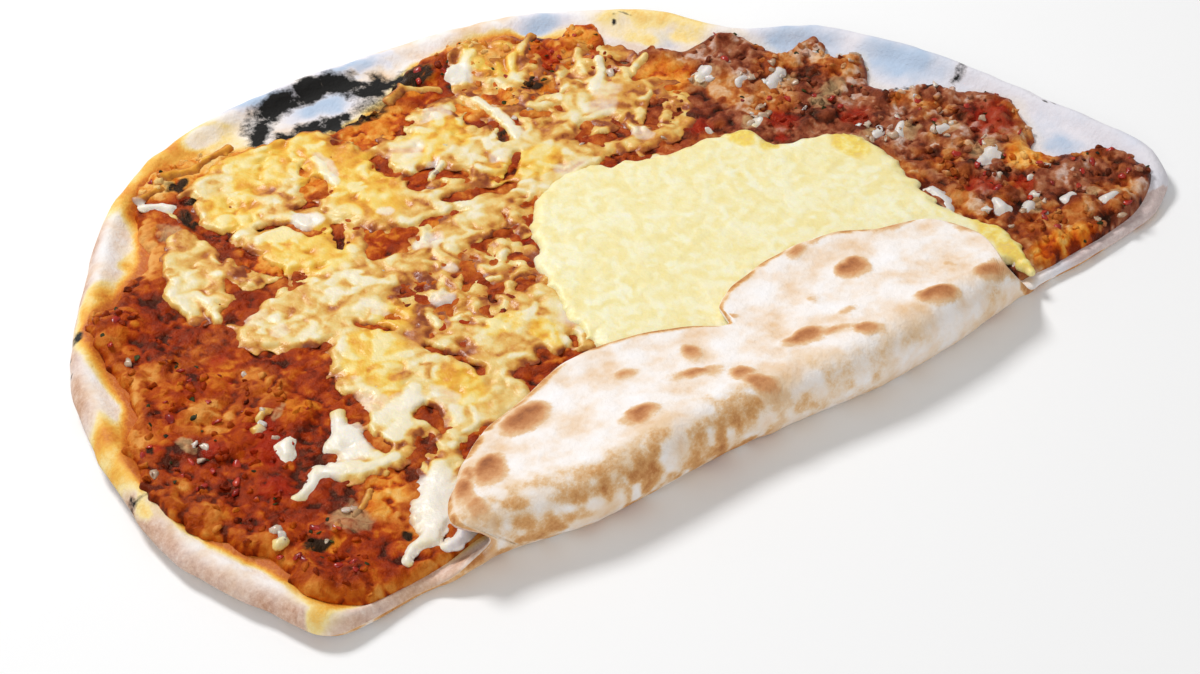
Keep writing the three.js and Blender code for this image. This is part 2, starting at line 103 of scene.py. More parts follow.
def polar_outline(points, hub):
    """Distance from the hub to a closed smooth curve through the points, for any bearing."""
    knots = np.array(points, float) - np.array(hub, float)
    curve = []
    for i in range(len(knots)):
        p = [knots[(i + k) % len(knots)] for k in (-1, 0, 1, 2)]
        gap = [max(np.linalg.norm(p[k + 1] - p[k]) ** 0.5, 1e-4) for k in range(3)]
        start = ((p[1] - p[0]) / gap[0] - (p[2] - p[0]) / (gap[0] + gap[1])
                 + (p[2] - p[1]) / gap[1]) * gap[1]
        end = ((p[2] - p[1]) / gap[1] - (p[3] - p[1]) / (gap[1] + gap[2])
               + (p[3] - p[2]) / gap[2]) * gap[1]
        t = np.arange(40)[:, None] / 40
        curve.append(p[1] + start * t + (-3 * p[1] + 3 * p[2] - 2 * start - end) * t ** 2
                     + (2 * p[1] - 2 * p[2] + start + end) * t ** 3)
    curve = np.concatenate(curve)
    bearings = np.arctan2(curve[:, 1], curve[:, 0])
    reach = np.hypot(curve[:, 0], curve[:, 1])
    return lambda b: np.interp(b, bearings, reach, period=2 * np.pi)


def mottle(x, y, size, seed):
    """Soft random hills and hollows from -1 to 1, each about one size across."""
    table = np.random.RandomState(seed).uniform(-1, 1, (251, 251))
    u, v = np.asarray(x) / size + 97.3, np.asarray(y) / size + 41.7
    i, j = np.floor(u).astype(int), np.floor(v).astype(int)
    s, t = smooth(u - i), smooth(v - j)
    low = table[i % 251, j % 251] * (1 - s) + table[(i + 1) % 251, j % 251] * s
    high = table[i % 251, (j + 1) % 251] * (1 - s) + table[(i + 1) % 251, (j + 1) % 251] * s
    return low * (1 - t) + high * t


def oval(x, y, centre_x, centre_y, long, broad, degrees=0):
    """How far inside a turned oval a point lies: 1 at its centre, 0 on its edge."""
    c, s = math.cos(math.radians(degrees)), math.sin(math.radians(degrees))
    return 1 - np.hypot(((x - centre_x) * c + (y - centre_y) * s) / long,
                        ((y - centre_y) * c - (x - centre_x) * s) / broad)


def blotches(x, y, places):
    """1 inside any of the turned ovals, 0 well outside, with soft ragged borders between."""
    ragged_x = x + 1.2 * mottle(x, y, 4, 71) + 0.6 * mottle(x, y, 1.9, 72)
    ragged_y = y + 1.2 * mottle(y, x, 4, 73) + 0.6 * mottle(y, x, 1.9, 74)
    return np.max([smooth(0.5 + 1.3 * oval(ragged_x, ragged_y, *place)) for place in places], 0)


def pool_depth(x, y, pools):
    """How far inside the nearest of the turned ovals a point lies, about in millimetres."""
    return np.max([oval(x, y, *pool) * min(pool[2:4]) for pool in pools], 0)


def stroke(x, y, points):
    """Distance from a line through the points."""
    least = np.full(np.shape(x), 999.0)
    for (x0, y0), (x1, y1) in zip(points, points[1:]):
        share = ((x - x0) * (x1 - x0) + (y - y0) * (y1 - y0)) / ((x1 - x0) ** 2 + (y1 - y0) ** 2)
        share = np.clip(share, 0, 1)
        least = np.minimum(least, np.hypot(x - x0 - share * (x1 - x0), y - y0 - share * (y1 - y0)))
    return least


dough_edge = polar_outline(DOUGH_EDGE, HUB)
filling_edge = polar_outline(FILLING_EDGE, HUB)


def fold_line(x):
    """Where the sheet starts to turn over, as Y for any X."""
    return (2.9 - 6.7 * bump((x - 160) / 45) - 3 * bump((x - 70) / 30)
            + 3.5 * bump((x - 42) / 18) - 3.5 * smooth((x - 204) / 14))


def free_share(b):
    """1 along the open rim and 0 along the fold, for a bearing from the hub."""
    a = np.degrees(np.arctan2(np.sin(b), np.cos(b)))
    return 1 - smooth((a + 156) / 10) * (1 - smooth((a + 28) / 10))


def rim_lift(b, inset):
    """How far the sheet stands off the table at a distance in from its edge."""
    uneven = 1 + 0.2 * np.cos(2 * b) + 0.15 * np.sin(5 * b)
    return RIM_LIFT * uneven * free_share(b) * smooth(1 - inset / RIM_LIFT_WIDTH)


def dough_top(b, inset):
    """Height of the sheet's upper side over its underside, with the raised rim."""
    free = free_share(b)
    uneven = 1 + 0.22 * np.sin(3 * b + 1) + 0.18 * np.sin(11 * b)
    hump = np.where(inset < RIM_WIDTH,
                    np.sin(np.pi * np.clip(inset / RIM_WIDTH, 0, 1) ** 0.75) ** 2, 0)
    body = DOUGH - 0.5 * (1 - free) * (1 - smooth(inset / 25))
    rounding = np.sqrt(1 - np.square(np.clip(1 - inset / EDGE_ROUND, 0, 1)))
    return EDGE_RISE + (body - EDGE_RISE) * rounding + free * RIM_RISE * uneven * hump


def dough_under(inset):
    """Height of the underside, which curls up at the outer edge."""
    return EDGE_RISE * np.square(np.clip(1 - inset / EDGE_ROUND, 0, 1))


TURN_STEP = 0.5
turn_end = FOLD_EASE / 2 + (math.pi + FLAP_DROOP) * FOLD_RADIUS


def heading(s):
    """Direction of the sheet along its way round the fold, 0 flat and pi turned right over."""
    rising = np.where(s < FOLD_EASE, s * s / (2 * FOLD_EASE * FOLD_RADIUS),
                      (s - FOLD_EASE / 2) / FOLD_RADIUS)
    return np.minimum(rising,
                      math.pi + FLAP_DROOP * (1 - smooth((s - turn_end) / FLAP_SETTLE)))


turn_s = np.arange(220) * TURN_STEP
turn_half = heading(turn_s[1:] - TURN_STEP / 2)
turn_y = np.concatenate([[0], np.cumsum(-np.cos(turn_half) * TURN_STEP)])
turn_z = np.concatenate([[0], np.cumsum(np.sin(turn_half) * TURN_STEP)])


def on_sheet(x, y, rise, lift):
    """Points at a height over the dough's underside, carried round the fold."""
    along = fold_line(x) - y
    s = np.clip(along, 0, turn_s[-1])
    way = heading(s)
    puff = (FLAP_PUFF * (bump((x - 84) / 30) + bump((x - 165) / 28))
            * smooth((along - 12) / 14) * (1 - 0.6 * smooth((along - 44) / 20)))
    flat = along <= 0
    return np.stack([
        x,
        np.where(flat, y, fold_line(x) + np.interp(s, turn_s, turn_y) + rise * np.sin(way)),
        np.where(flat, rise, np.interp(s, turn_s, turn_z) + rise * np.cos(way) + puff) + lift,
    ], -1)


def table_top(x, y):
    """Height of the dough's upper side where it lies open, up to the start of the turn."""
    b = np.arctan2(y - HUB[1], x - HUB[0])
    inset = np.maximum(dough_edge(b) - np.hypot(x - HUB[0], y - HUB[1]), 0)
    return dough_top(b, inset) + rim_lift(b, inset) + 0.02 * np.maximum(0, fold_line(x) - y) ** 2


def make_piece(name, material, points, faces, marks):
    """A smooth mesh from millimetre points, with named marks that its material reads."""
    metres = np.array(points, float)
    metres[:, :2] -= MIDDLE
    mesh = bpy.data.meshes.new(name)
    mesh.from_pydata((metres / 1000).tolist(), [], faces)
    mesh.polygons.foreach_set("use_smooth", np.ones(len(mesh.polygons), bool))
    for mark, values in marks.items():
        mesh.attributes.new(mark, "FLOAT", "POINT").data.foreach_set(
            "value", np.asarray(values, np.float32))
    mesh.materials.append(material)
    mesh.update()
    piece = bpy.data.objects.new(name, mesh)
    bpy.context.scene.collection.objects.link(piece)
    return piece


# the sheet as rings of points: from its hub out over the top, round the edge and back below
FLAP_COLUMNS, FREE_COLUMNS = 430, 290
TOP_RINGS, UNDER_RINGS = 30, 76
FLAP_START, FLAP_END = -157, -22  # bearings between which the rings are closer, in degrees
FINE_WIDTH, TIP_WIDTH = 26, 3.2  # widths along the edge with even rings, and with the closest
flap_side = np.radians(np.linspace(FLAP_START, FLAP_END, FLAP_COLUMNS, endpoint=False))
free_side = np.radians(np.linspace(FLAP_END, FLAP_START + 360, FREE_COLUMNS, endpoint=False))
ring_bearing = np.concatenate([flap_side, free_side])
around = len(ring_bearing)
edge = dough_edge(ring_bearing)
edge = edge + 0.45 * mottle(edge * np.cos(ring_bearing), edge * np.sin(ring_bearing), 6, 3)
slope = np.maximum(-np.sin(ring_bearing), 0.05)
inner = np.minimum(edge - FINE_WIDTH, (HUB[1] - fold_line(HUB[0] + np.cos(ring_bearing) * 80)) / slope - 6)


def ring_reaches(count):
    """Reaches of the rings on one side: a few near the hub, then even, then close at the edge."""
    near = inner * np.linspace(0.15, 1, 9)[:-1, None]
    body = inner + (edge - TIP_WIDTH - inner) * np.linspace(0, 1, count)[:, None]
    tip = edge - TIP_WIDTH + TIP_WIDTH * np.array([0.3, 0.52, 0.7, 0.84, 0.94, 1])[:, None]
    return np.concatenate([near, body, tip])


rows = []
for under, count in ((0, TOP_RINGS), (1, UNDER_RINGS)):
    reaches = ring_reaches(count)
    for reach in reaches[::-1][1:] if under else reaches:
        x, y = HUB[0] + reach * np.cos(ring_bearing), HUB[1] + reach * np.sin(ring_bearing)
        inset = np.maximum(edge - reach, 0)
        if under:
            rise = dough_under(inset)
        else:
            crust = smooth(inset / 1.5) * smooth((16 - inset) / 4) * free_share(ring_bearing)
            rise = dough_top(ring_bearing, inset) + crust * (0.35 * mottle(x, y, 8, 7)
                                                             + 0.15 * mottle(x, y, 4, 8))
        rows.append(np.column_stack([on_sheet(x, y, rise, rim_lift(ring_bearing, inset)), x, y,
                                     inset, np.full(around, under)]))
ring_count = len(rows)
rows.append(np.array([[HUB[0], HUB[1], DOUGH, HUB[0], HUB[1], 99, 0],
                      [HUB[0], HUB[1], 0, HUB[0], HUB[1], 99, 1]]))
rows = np.concatenate(rows)
bread_points, bread_flat, bread_inset, underside = rows[:, :3], rows[:, 3:5], rows[:, 5], rows[:, 6] > 0
px, py = bread_points[:, 0], bread_points[:, 1]
along = fold_line(bread_flat[:, 0]) - bread_flat[:, 1]
on_flap = underside & (along > 6)

# brown spots where the flap's blisters touched the stone, as they lie on the folded bread
FLAP_SPOTS = [  # centre, half length, half breadth, turn in degrees, how brown
    (67.5, 23, 7.5, 4.4, 12, 1), (49.7, 12, 6.5, 4.4, 50, 1), (39.5, 8.5, 7, 2.8, 62, 0.9),
    (44, 13, 5, 2, 52, 0.7), (97, 21, 2.8, 1.8, 0, 0.8), (89.3, 4.6, 5.4, 3.2, 6, 1),
    (115, 18, 3.4, 4.6, -30, 0.8), (111, 9.5, 6.5, 2.4, -25, 0.8), (118, 2, 3.6, 3, 10, 0.8),
    (120.5, -5, 3.6, 6, 30, 0.7), (141, 3.5, 5.8, 3.4, -8, 1), (148.5, 0, 6, 1.7, -20, 0.6),
    (154.5, -5, 4, 3, -40, 0.7), (162.5, 34, 3.6, 2, 15, 0.9), (171, 34.5, 4.6, 1.4, 0, 0.7),
    (169.3, 19, 4.6, 4.4, 10, 1), (177.8, -6, 6, 3.6, -14, 1), (197, -6.2, 6.5, 2.8, -12, 0.9),
    (189, 27, 4.5, 1.6, -10, 0.9), (205, 13, 2.4, 3.4, 20, 0.4), (132.5, 24, 1, 1, 0, 1),
    (39, 0.5, 6, 3.4, 72, 0.3), (156, 4.5, 4, 2.2, 0, 0.1), (153, 15, 2, 3, 0, 0), (188, 3, 2, 3, 0, 0.1),
]
wander_x = px + 1.1 * mottle(px, py, 5, 11) + 0.7 * mottle(py, px, 2.3, 12)
wander_y = py + 0.9 * mottle(py, px, 4.3, 18) + 0.6 * mottle(px, py, 2.1, 19)
spotting = np.full(len(px), -9.0)
for cx, cy, long, broad, turn, brown in FLAP_SPOTS:
    depth = oval(wander_x, wander_y, cx, cy, long, broad, turn) * min(long, broad)
    # each spot is painted browner along its far side and fades on its near side: painted shade of the
    # blister's raised edge
    far_edge_shade = 0.62 + 0.38 * np.clip((wander_y - cy) / broad, -1, 1)
    spotting = np.maximum(spotting, np.where(depth > 0, np.minimum(depth * 1.7, 3) * far_edge_shade, depth)
                          * (0.5 + 0.5 * brown) + 0.8 * (brown - 1))
spotting = np.where(on_flap, spotting, -9)

# the round of the fold is toasted in patches, more to the left, and the flap's edge is too
MOST_TOASTED = [(111, -5, 16, 6, 0), (76, -7, 12, 4, 0)]
sheet_x, sheet_y = bread_flat.T
toast_patches = np.clip(0.55 + 0.75 * mottle(sheet_x, sheet_y, 7, 13)
                        + 0.6 * mottle(sheet_x, sheet_y, 2.6, 14), 0, 1.3)
toasted = smooth((42 - along) / 28) * (0.24 + 0.28 * smooth((150 + 14 * mottle(px, py, 8, 36) - px) / 40))
toasted = toasted * toast_patches
toasted = toasted + 0.5 * blotches(px, py, MOST_TOASTED) * (
    0.4 + 0.9 * mottle(sheet_x, sheet_y, 3, 20)) * smooth((26 - along) / 8)
toasted = np.maximum(toasted, 0.9 * toast_patches * smooth(1.2 - bread_inset / EDGE_ROUND))
toasted = np.where(underside & (along > 0), toasted,
                   np.where(underside, 0.55 * smooth((bread_inset - 9) / 8), 0))

# the flap's blisters and wrinkles, raised along the dough's own outward direction
way = heading(np.clip(along, 0, turn_s[-1]))
blister = on_flap * smooth(bread_inset / 3) * (
    0.32 * smooth((spotting + 1.4) / 2.4) + 0.2 * mottle(px, py, 11, 15)
    + 0.14 * mottle(px, py, 4.5, 16) + 0.08 * mottle(px, py, 2.2, 17) - 0.2)
bread_points[:, 1] -= blister * np.sin(way)
bread_points[:, 2] -= blister * np.cos(way)

# the far rim is burnt black in a ring of strokes, and a few small tears in the rim are burnt
SCORCHES = [  # half breadth, then the line of the stroke
    (4.2, ((75, 168), (80, 172), (85, 177))), (4.8, ((88, 178), (98, 178), (106, 178))),
    (5.8, ((109, 174), (117, 169))), (3.6, ((119, 168), (130, 167))),
    (3.6, ((83, 166), (90, 163.5), (101, 162.5))), (1.9, ((127, 171), (128, 170))),
    (1.6, ((102, 180), (104, 181))),
    (0.6, ((265, 52), (267.5, 44))), (1.6, ((-6, 121), (-5, 122))), (0.8, ((-13.5, 110), (-10, 117))),
    (0.9, ((-23, 61), (-19, 61))), (0.5, ((190, 153), (194, 157.5), (198, 153))),
    (1.0, ((238, 80), (243, 76))), (2.0, ((254, 71), (260.5, 74.5))),
]
burn_x = px + 1.5 * mottle(px, py, 4, 21) + 1.1 * mottle(px, py, 1.9, 22)
burn_y = py + 1.5 * mottle(py, px, 4, 28) + 1.1 * mottle(py, px, 1.9, 29)
scorch = np.max([2.2 * np.minimum((half - stroke(burn_x, burn_y, line)) / min(half, 3), 1)
                 for half, line in SCORCHES], 0) + 1.1 * mottle(px, py, 3, 30)
BURNT_PLACES = [(112, 163.5, 8, 4, -15), (79, 175, 6, 4, 30), (257.5, 73, 3.5, 1.6, 27)]
scorch = np.maximum(scorch, 2.1 * blotches(px, py, BURNT_PLACES) - 1)
scorch = np.where(underside, -9, scorch)

# orange oil from the filling soaks the dough beside it, widely at the upper left
OILY = [(50, 170, 27, 14, 8), (-17, 76, 7, 13, 0), (-2, 1, 5, 4, 0), (25, 143, 9, 5, 55),
        (5, 128, 10, 5, 45), (146, 169, 14, 4, -5), (-4, 12, 3, 9, 12)]
PALE_RIM = [(64, 177, 6, 3, 0), (90, 183, 30, 5, 0), (20, 148, 5, 11, -50), (-18, 97, 5, 12, -15),
            (-19, 52, 3, 11, 0), (-13, 22, 5, 20, 26), (132, 178, 22, 4, -14),
            (16, -2, 20, 4.5, -2), (10, -2, 14, 4, 0), (-19, 40, 4, 8, 0)]
past_meat = (np.hypot(sheet_x - HUB[0], sheet_y - HUB[1])
             - filling_edge(np.arctan2(sheet_y - HUB[1], sheet_x - HUB[0])))
soak = 4.2 + 1.8 * mottle(px, py, 9, 23) + 1.0 * mottle(px, py, 3.5, 24)
oil = smooth(1.25 - past_meat / soak) * (1 - 0.92 * smooth((px - 160) / 30))
oil = np.maximum(oil, blotches(px, py, OILY) * (0.62 + 0.3 * mottle(px, py, 5, 27)))
oil = oil * (1 - 0.8 * blotches(px, py, PALE_RIM)) * smooth((py + 4 - 0.1 * px) / 9)
oil = oil * (1 - 0.9 * blotches(px, py, [(98, 172, 30, 12, 0)]))
oil = np.maximum(oil, blotches(px, py, [(200, 147, 18, 9, -52)]) * (0.3 + 0.2 * mottle(px, py, 4, 33)))
oil = np.where(underside, 0, np.clip(oil, 0, 1))

# painted bluish shade: the flour is tinted blue-grey in places along the far rim, at the right end and under
# the lip at the fold's left end, where cool shade lies
bluish_shade = np.where(underside, 0.5 * smooth((px - 225) / 40) + 0.4 * smooth((20 - px) / 30) * (along > -3),
                0.5 * smooth((px - 205) / 25))
BLUISH_SHADE_PLACES = [(99, 170.5, 11, 5, 0), (84, 182, 13, 4, -12), (116, 180, 12, 3, -8), (172, 165, 9, 6, 0),
          (199, 140, 4, 8, 20), (229, 114, 7, 11, 40), (246, 88, 7, 12, 30), (259, 32, 4, 5, 0)]
bluish_rim_shade = np.max([smooth(0.45 + 0.8 * oval(burn_x, burn_y, *place)) for place in BLUISH_SHADE_PLACES], 0)
bluish_shade = np.where(underside, bluish_shade, bluish_shade + (1 - bluish_shade) * bluish_rim_shade)

# the rim's outer face and the lip before the fold are tanned by the oven, and their pinkish brown is partly
# painted shade on faces turned from the light
tan = smooth(1.25 - bread_inset / (3.8 + smooth((20 - px) / 30))) * (0.75 + 0.3 * mottle(px, py, 6, 26))
tan = np.where(underside, 0.6 * tan, tan * smooth((190 - px) / 40))
tan = np.maximum(tan * smooth((30 + 12 * mottle(px, py, 14, 31) - px) / 12 + smooth((py - 60) / 30)),
                 np.where(underside, 0, 0.25 * blotches(px, py, [(198, 145, 13, 18, 40)])))
tan = np.where(on_flap | ((along > -3) & (px > 15)), 0.5 * smooth((px - 222) / 8), tan)
tan = np.where(underside, tan, np.maximum(tan, 0.7 * blotches(px, py, [(20, -1, 20, 4, 0)])))


def hexed(code):
    """Linear colour from a web colour."""
    parts = [int(code[i:i + 2], 16) / 255 for i in (0, 2, 4)]
    return tuple(p / 12.92 if p <= 0.04045 else ((p + 0.055) / 1.055) ** 2.4
                 for p in parts) + (1.0,)


def plug(tree, node, inputs):
    """Give each of these inputs of a node its value, or its link from another node."""
    for key, value in inputs.items():
        if isinstance(value, bpy.types.NodeSocket):
            tree.links.new(value, node.inputs[key])
        else:
            node.inputs[key].default_value = value


def add(tree, kind, inputs=None, **settings):
    """One node with its settings, and a value or a link for each input."""
    made = tree.nodes.new(kind)
    for key, value in settings.items():
        setattr(made, key, value)
    plug(tree, made, inputs or {})
    return made


def mark_of(tree, name):
    """What one of the mesh's marks says."""
    return add(tree, "ShaderNodeAttribute", attribute_name=name).outputs["Fac"]


def speckle(tree, scale, detail, roughness=0.5, distortion=0.0):
    """Level of a noise that is fixed to the piece; its scale is in hills to a metre."""
    place = add(tree, "ShaderNodeTexCoord").outputs["Object"]
    return add(tree, "ShaderNodeTexNoise", {
        "Vector": place, "Scale": scale, "Detail": detail, "Roughness": roughness,
        "Distortion": distortion}).outputs[0]


def maths(tree, operation, *values):
    """The sum, product or greatest of some levels."""
    return add(tree, "ShaderNodeMath", dict(enumerate(values)), operation=operation).outputs[0]


def between(tree, share, first, second):
    """A level between two others, nearer the second the greater the share."""
    return add(tree, "ShaderNodeMix", {0: share, 2: first, 3: second}).outputs[0]


def stretch(tree, level, low, high, least=0.0, most=1.0):
    """A level drawn out from one range to another, and kept inside it."""
    return add(tree, "ShaderNodeMapRange", {0: level, 1: low, 2: high, 3: least, 4: most}).outputs[0]


def ramp(tree, level, stops):
    """Colour for a level, from stops that each have a position and a web colour."""
    made = add(tree, "ShaderNodeValToRGB", {"Fac": level})
    marks = made.color_ramp.elements
    while len(marks) < len(stops):
        marks.new(1.0)
    for mark, (position, colour) in zip(marks, stops):
        mark.position, mark.color = position, hexed(colour)
    return made.outputs[0]


def lay(tree, cover, under, over):
    """One colour laid over another, as far as its cover tells."""
    return add(tree, "ShaderNodeMix", {0: cover, 6: under, 7: over}, data_type="RGBA").outputs[2]


def relief(tree, height, strength, depth, under=None):
    """A surface bent by a height, on top of one that is bent already."""
    inputs = {"Height": height, "Strength": strength, "Distance": depth}
    return add(tree, "ShaderNodeBump", inputs if under is None else {**inputs, "Normal": under}).outputs[0]


def start_material(name):
    """An empty material whose surface shader is joined to its output."""
    made = bpy.data.materials.new(name)
    made.use_nodes = True
    made.node_tree.nodes.clear()
    shader = add(made.node_tree, "ShaderNodeBsdfPrincipled")
    add(made.node_tree, "ShaderNodeOutputMaterial", {"Surface": shader.outputs[0]})
    return made, made.node_tree, shader


# Baked wheat dough dusted with flour: dry and matt, nearly white where the flour lies, with
# freckled brown spots where blisters touched the hot stone, and orange where oil soaked in.
floured_dough, tree, shader = start_material("floured_baked_dough")
freckle, cloudy, grain = speckle(tree, 700, 4, 0.7), speckle(tree, 95, 3, 0.55), speckle(tree, 1500, 2)
flour = ramp(tree, cloudy, [(0.3, "ecc8a0"), (0.43, "f5e1cd"), (0.55, "faf1ea"), (0.7, "fdf9f8")])
# painted bluish shade: blue-grey laid over the flour on the far rim, the right end and the lip
bluish_shade_mark = mark_of(tree, "bluish_shade")
bluish_shade_level = maths(tree, "ADD", maths(tree, "MULTIPLY_ADD", cloudy, 0.6, -0.3), bluish_shade_mark)
bluish_shade_colour = ramp(tree, bluish_shade_level, [(0.2, "f3eef0"), (0.5, "e8e5ec"), (1.0, "b9cbe2")])
surface = lay(tree, stretch(tree, bluish_shade_mark, 0.0, 0.4), flour, bluish_shade_colour)
# tan: oven tan together with painted shade on the rim's outer face and the lip
tan_and_shade_colour = ramp(tree, freckle, [(0.3, "e4c6b2"), (0.5, "cfa286"), (0.7, "b07c60")])
surface = lay(tree, mark_of(tree, "tan"), surface, tan_and_shade_colour)
toast_grain = maths(tree, "MULTIPLY_ADD", freckle, 1.9, 0.05)
toast_depth = stretch(tree, maths(tree, "MULTIPLY", toast_grain, mark_of(tree, "toasted")), 0.05, 0.95)
toast_colour = ramp(tree, toast_depth, [
    (0.0, "f4e0c6"), (0.25, "eccba2"), (0.5, "dba468"), (1.0, "b8743c")])
surface = lay(tree, stretch(tree, toast_depth, 0.0, 0.3), surface, toast_colour)
spot_depth = stretch(tree, maths(tree, "MULTIPLY_ADD", freckle, 1.8, mark_of(tree, "spotting")), 0.1, 3.6)
spot_colour = ramp(tree, spot_depth, [
    (0.0, "f4dfc6"), (0.25, "e8c296"), (0.5, "d89c68"), (0.8, "ba7645"), (1.0, "9c5e38")])
surface = lay(tree, stretch(tree, spot_depth, 0.0, 0.22), surface, spot_colour)
oil_mark = mark_of(tree, "oil")
oil_level = maths(tree, "ADD", maths(tree, "MULTIPLY_ADD", freckle, 0.5, -0.25), oil_mark)
oil_colour = ramp(tree, oil_level, [
    (0.0, "f9ecd2"), (0.3, "f7dc93"), (0.55, "f2ba4c"), (0.8, "e5922a"), (1.0, "c2651a")])
surface = lay(tree, stretch(tree, oil_mark, 0.02, 0.25), surface, oil_colour)
scorch_depth = stretch(tree, maths(tree, "MULTIPLY_ADD", freckle, 3.2, mark_of(tree, "scorch")), 1.7, 3.3)
scorch_colour = ramp(tree, scorch_depth, [
    (0.0, "a07a50"), (0.35, "584430"), (0.7, "221c14"), (1.0, "0e0c0a")])
surface = lay(tree, scorch_depth, surface, scorch_colour)
blisters = relief(tree, cloudy, 0.6, 0.0014)
pores = relief(tree, freckle, 0.6, 0.0006, blisters)
plug(tree, shader, {
    "Base Color": surface, "Roughness": stretch(tree, oil_mark, 0.0, 1.0, 0.82, 0.48),
    "Specular IOR Level": 0.35, "Normal": relief(tree, grain, 0.35, 0.0002, pores)})

# the rings are joined by four-sided faces and closed at the hub, above and below
here, after = np.arange(around), (np.arange(around) + 1) % around
bread_faces = []
for r in range(ring_count - 1):
    a, b = r * around, (r + 1) * around
    bread_faces += np.stack([a + here, b + here, b + after, a + after], 1).tolist()
last = (ring_count - 1) * around
top_pole, low_pole = ring_count * around, ring_count * around + 1
bread_faces += np.stack([np.full(around, top_pole), here, after], 1).tolist()
bread_faces += np.stack([np.full(around, low_pole), last + after, last + here], 1).tolist()
flatbread = make_piece("flatbread", floured_dough, bread_points, bread_faces, {
    "spotting": spotting, "toasted": toasted, "tan": np.clip(tan, 0, 1), "oil": oil,
    "scorch": scorch, "bluish_shade": np.clip(bluish_shade, 0, 1)})
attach(flatbread, "root")
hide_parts("bread")

# Minced beef
# Beef minced with onion, tomato and pepper, pressed thinly over the dough and baked on it.
# It is a crust of fried crumbs in orange oil, heaped in low lumps and thin at its ragged edge.
MEAT, PACKED = 2.2, 3.0  # thickness of the layer, and how much more of it the fold holds
GAP = 0.3  # between the dough and the mince, and between the mince and the cheese
SINK = 0.15  # the fine meshes settle this far, so that no light shows between them
SLAB_HUB = (156, 48)
SLAB_EDGE = [  # the smooth cheese, which presses the mince flat
    (210, 33), (212, 56), (210, 70), (200, 74), (189, 79), (189, 86), (178, 90), (163, 91),
    (150, 97), (135, 101), (122, 95), (113, 81), (107, 68), (102, 52), (104, 28), (118, 10),
    (150, 7), (182, 9), (196, 10), (212, 1), (217, 6), (216.5, 15), (212, 26),
]
POOLS = [  # melted cheese above the mince: centre, half length, half breadth and turn
    (60, 149, 18, 10, 8), (86, 138, 12, 26, 4), (112, 140, 16, 9, 20), (56, 60, 15, 25, 8),
    (35, 18, 20, 7, 62), (38, 44, 15, 9, 20), (53, 94, 24, 12, -6), (60, 116, 18, 15, 0),
    (92, 94, 20, 10, 0), (90, 72, 20, 14, 0), (90, 53, 22, 11, 8), (32, 126, 10, 20, -14),
    (130, 111, 22, 14, 0), (166, 112, 21, 17, 0), (124, 126, 13, 9, 0), (152, 121, 13, 8, 0),
]

# a raster of heights over the table, on which crumbs and shreds are heaped
CELL = 0.4
RASTER_X, RASTER_Y = np.arange(-30, 285, CELL), np.arange(-22, 196, CELL)
GRID_X, GRID_Y = np.meshgrid(RASTER_X, RASTER_Y)
WARP_X = GRID_X + 0.9 * mottle(GRID_X, GRID_Y, 5, 61) + 0.45 * mottle(GRID_X, GRID_Y, 2.1, 62)
WARP_Y = GRID_Y + 0.9 * mottle(GRID_X, GRID_Y, 5, 63) + 0.45 * mottle(GRID_X, GRID_Y, 2.1, 64)


def window(x, y, reach):
    """The part of the raster within a reach of a point."""
    return (slice(*np.searchsorted(RASTER_Y, (y - reach, y + reach))),
            slice(*np.searchsorted(RASTER_X, (x - reach, x + reach))))


def sample(raster, x, y):
    """Value of a raster at places between its cells."""
    u = np.clip((x - RASTER_X[0]) / CELL, 0, len(RASTER_X) - 1.001)
    v = np.clip((y - RASTER_Y[0]) / CELL, 0, len(RASTER_Y) - 1.001)
    i, j = u.astype(int), v.astype(int)
    s, t = u - i, v - j
    return ((raster[j, i] * (1 - s) + raster[j, i + 1] * s) * (1 - t)
            + (raster[j + 1, i] * (1 - s) + raster[j + 1, i + 1] * s) * t)


def value_at(raster, x, y):
    """Value of a raster at one place."""
    return sample(raster, np.array([x]), np.array([y]))[0]


def dice(seed):
    """Random numbers from 0 to 1: the part's own source rolls the same ones for its lumps."""
    state = [seed]

    def roll():
        state[0] = (state[0] + 0x6D2B79F5) & 0xFFFFFFFF
        t = ((state[0] ^ (state[0] >> 15)) * (1 | state[0])) & 0xFFFFFFFF
        t = ((t + (((t ^ (t >> 7)) * (61 | t)) & 0xFFFFFFFF)) ^ t) & 0xFFFFFFFF
        return (t ^ (t >> 14)) / 4294967296
    return roll


slab_edge = polar_outline(SLAB_EDGE, SLAB_HUB)
slab = (slab_edge(np.arctan2(GRID_Y - SLAB_HUB[1], GRID_X - SLAB_HUB[0]))
        - np.hypot(GRID_X - SLAB_HUB[0], GRID_Y - SLAB_HUB[1]))
pools = pool_depth(GRID_X, GRID_Y, POOLS)
pools *= np.where(pools < 0, 1, 0.9)
bare = smooth((-np.maximum(pools, slab) - 7) / 4)
lumps = np.zeros_like(GRID_X)
LUMPS = 620
throw = dice(11)
for _ in range(LUMPS):
    lump_x, lump_y = -20 + 290 * throw(), 180 * throw()
    radius, rise = 4.5 + 3.5 * throw(), 0.8 + 1.2 * throw()
    near = window(lump_x, lump_y, radius)
    dome = rise * (1 - ((GRID_X[near] - lump_x) ** 2 + (GRID_Y[near] - lump_y) ** 2) / radius ** 2)
    lumps[near] = np.maximum(lumps[near], dome)
lumps *= bare

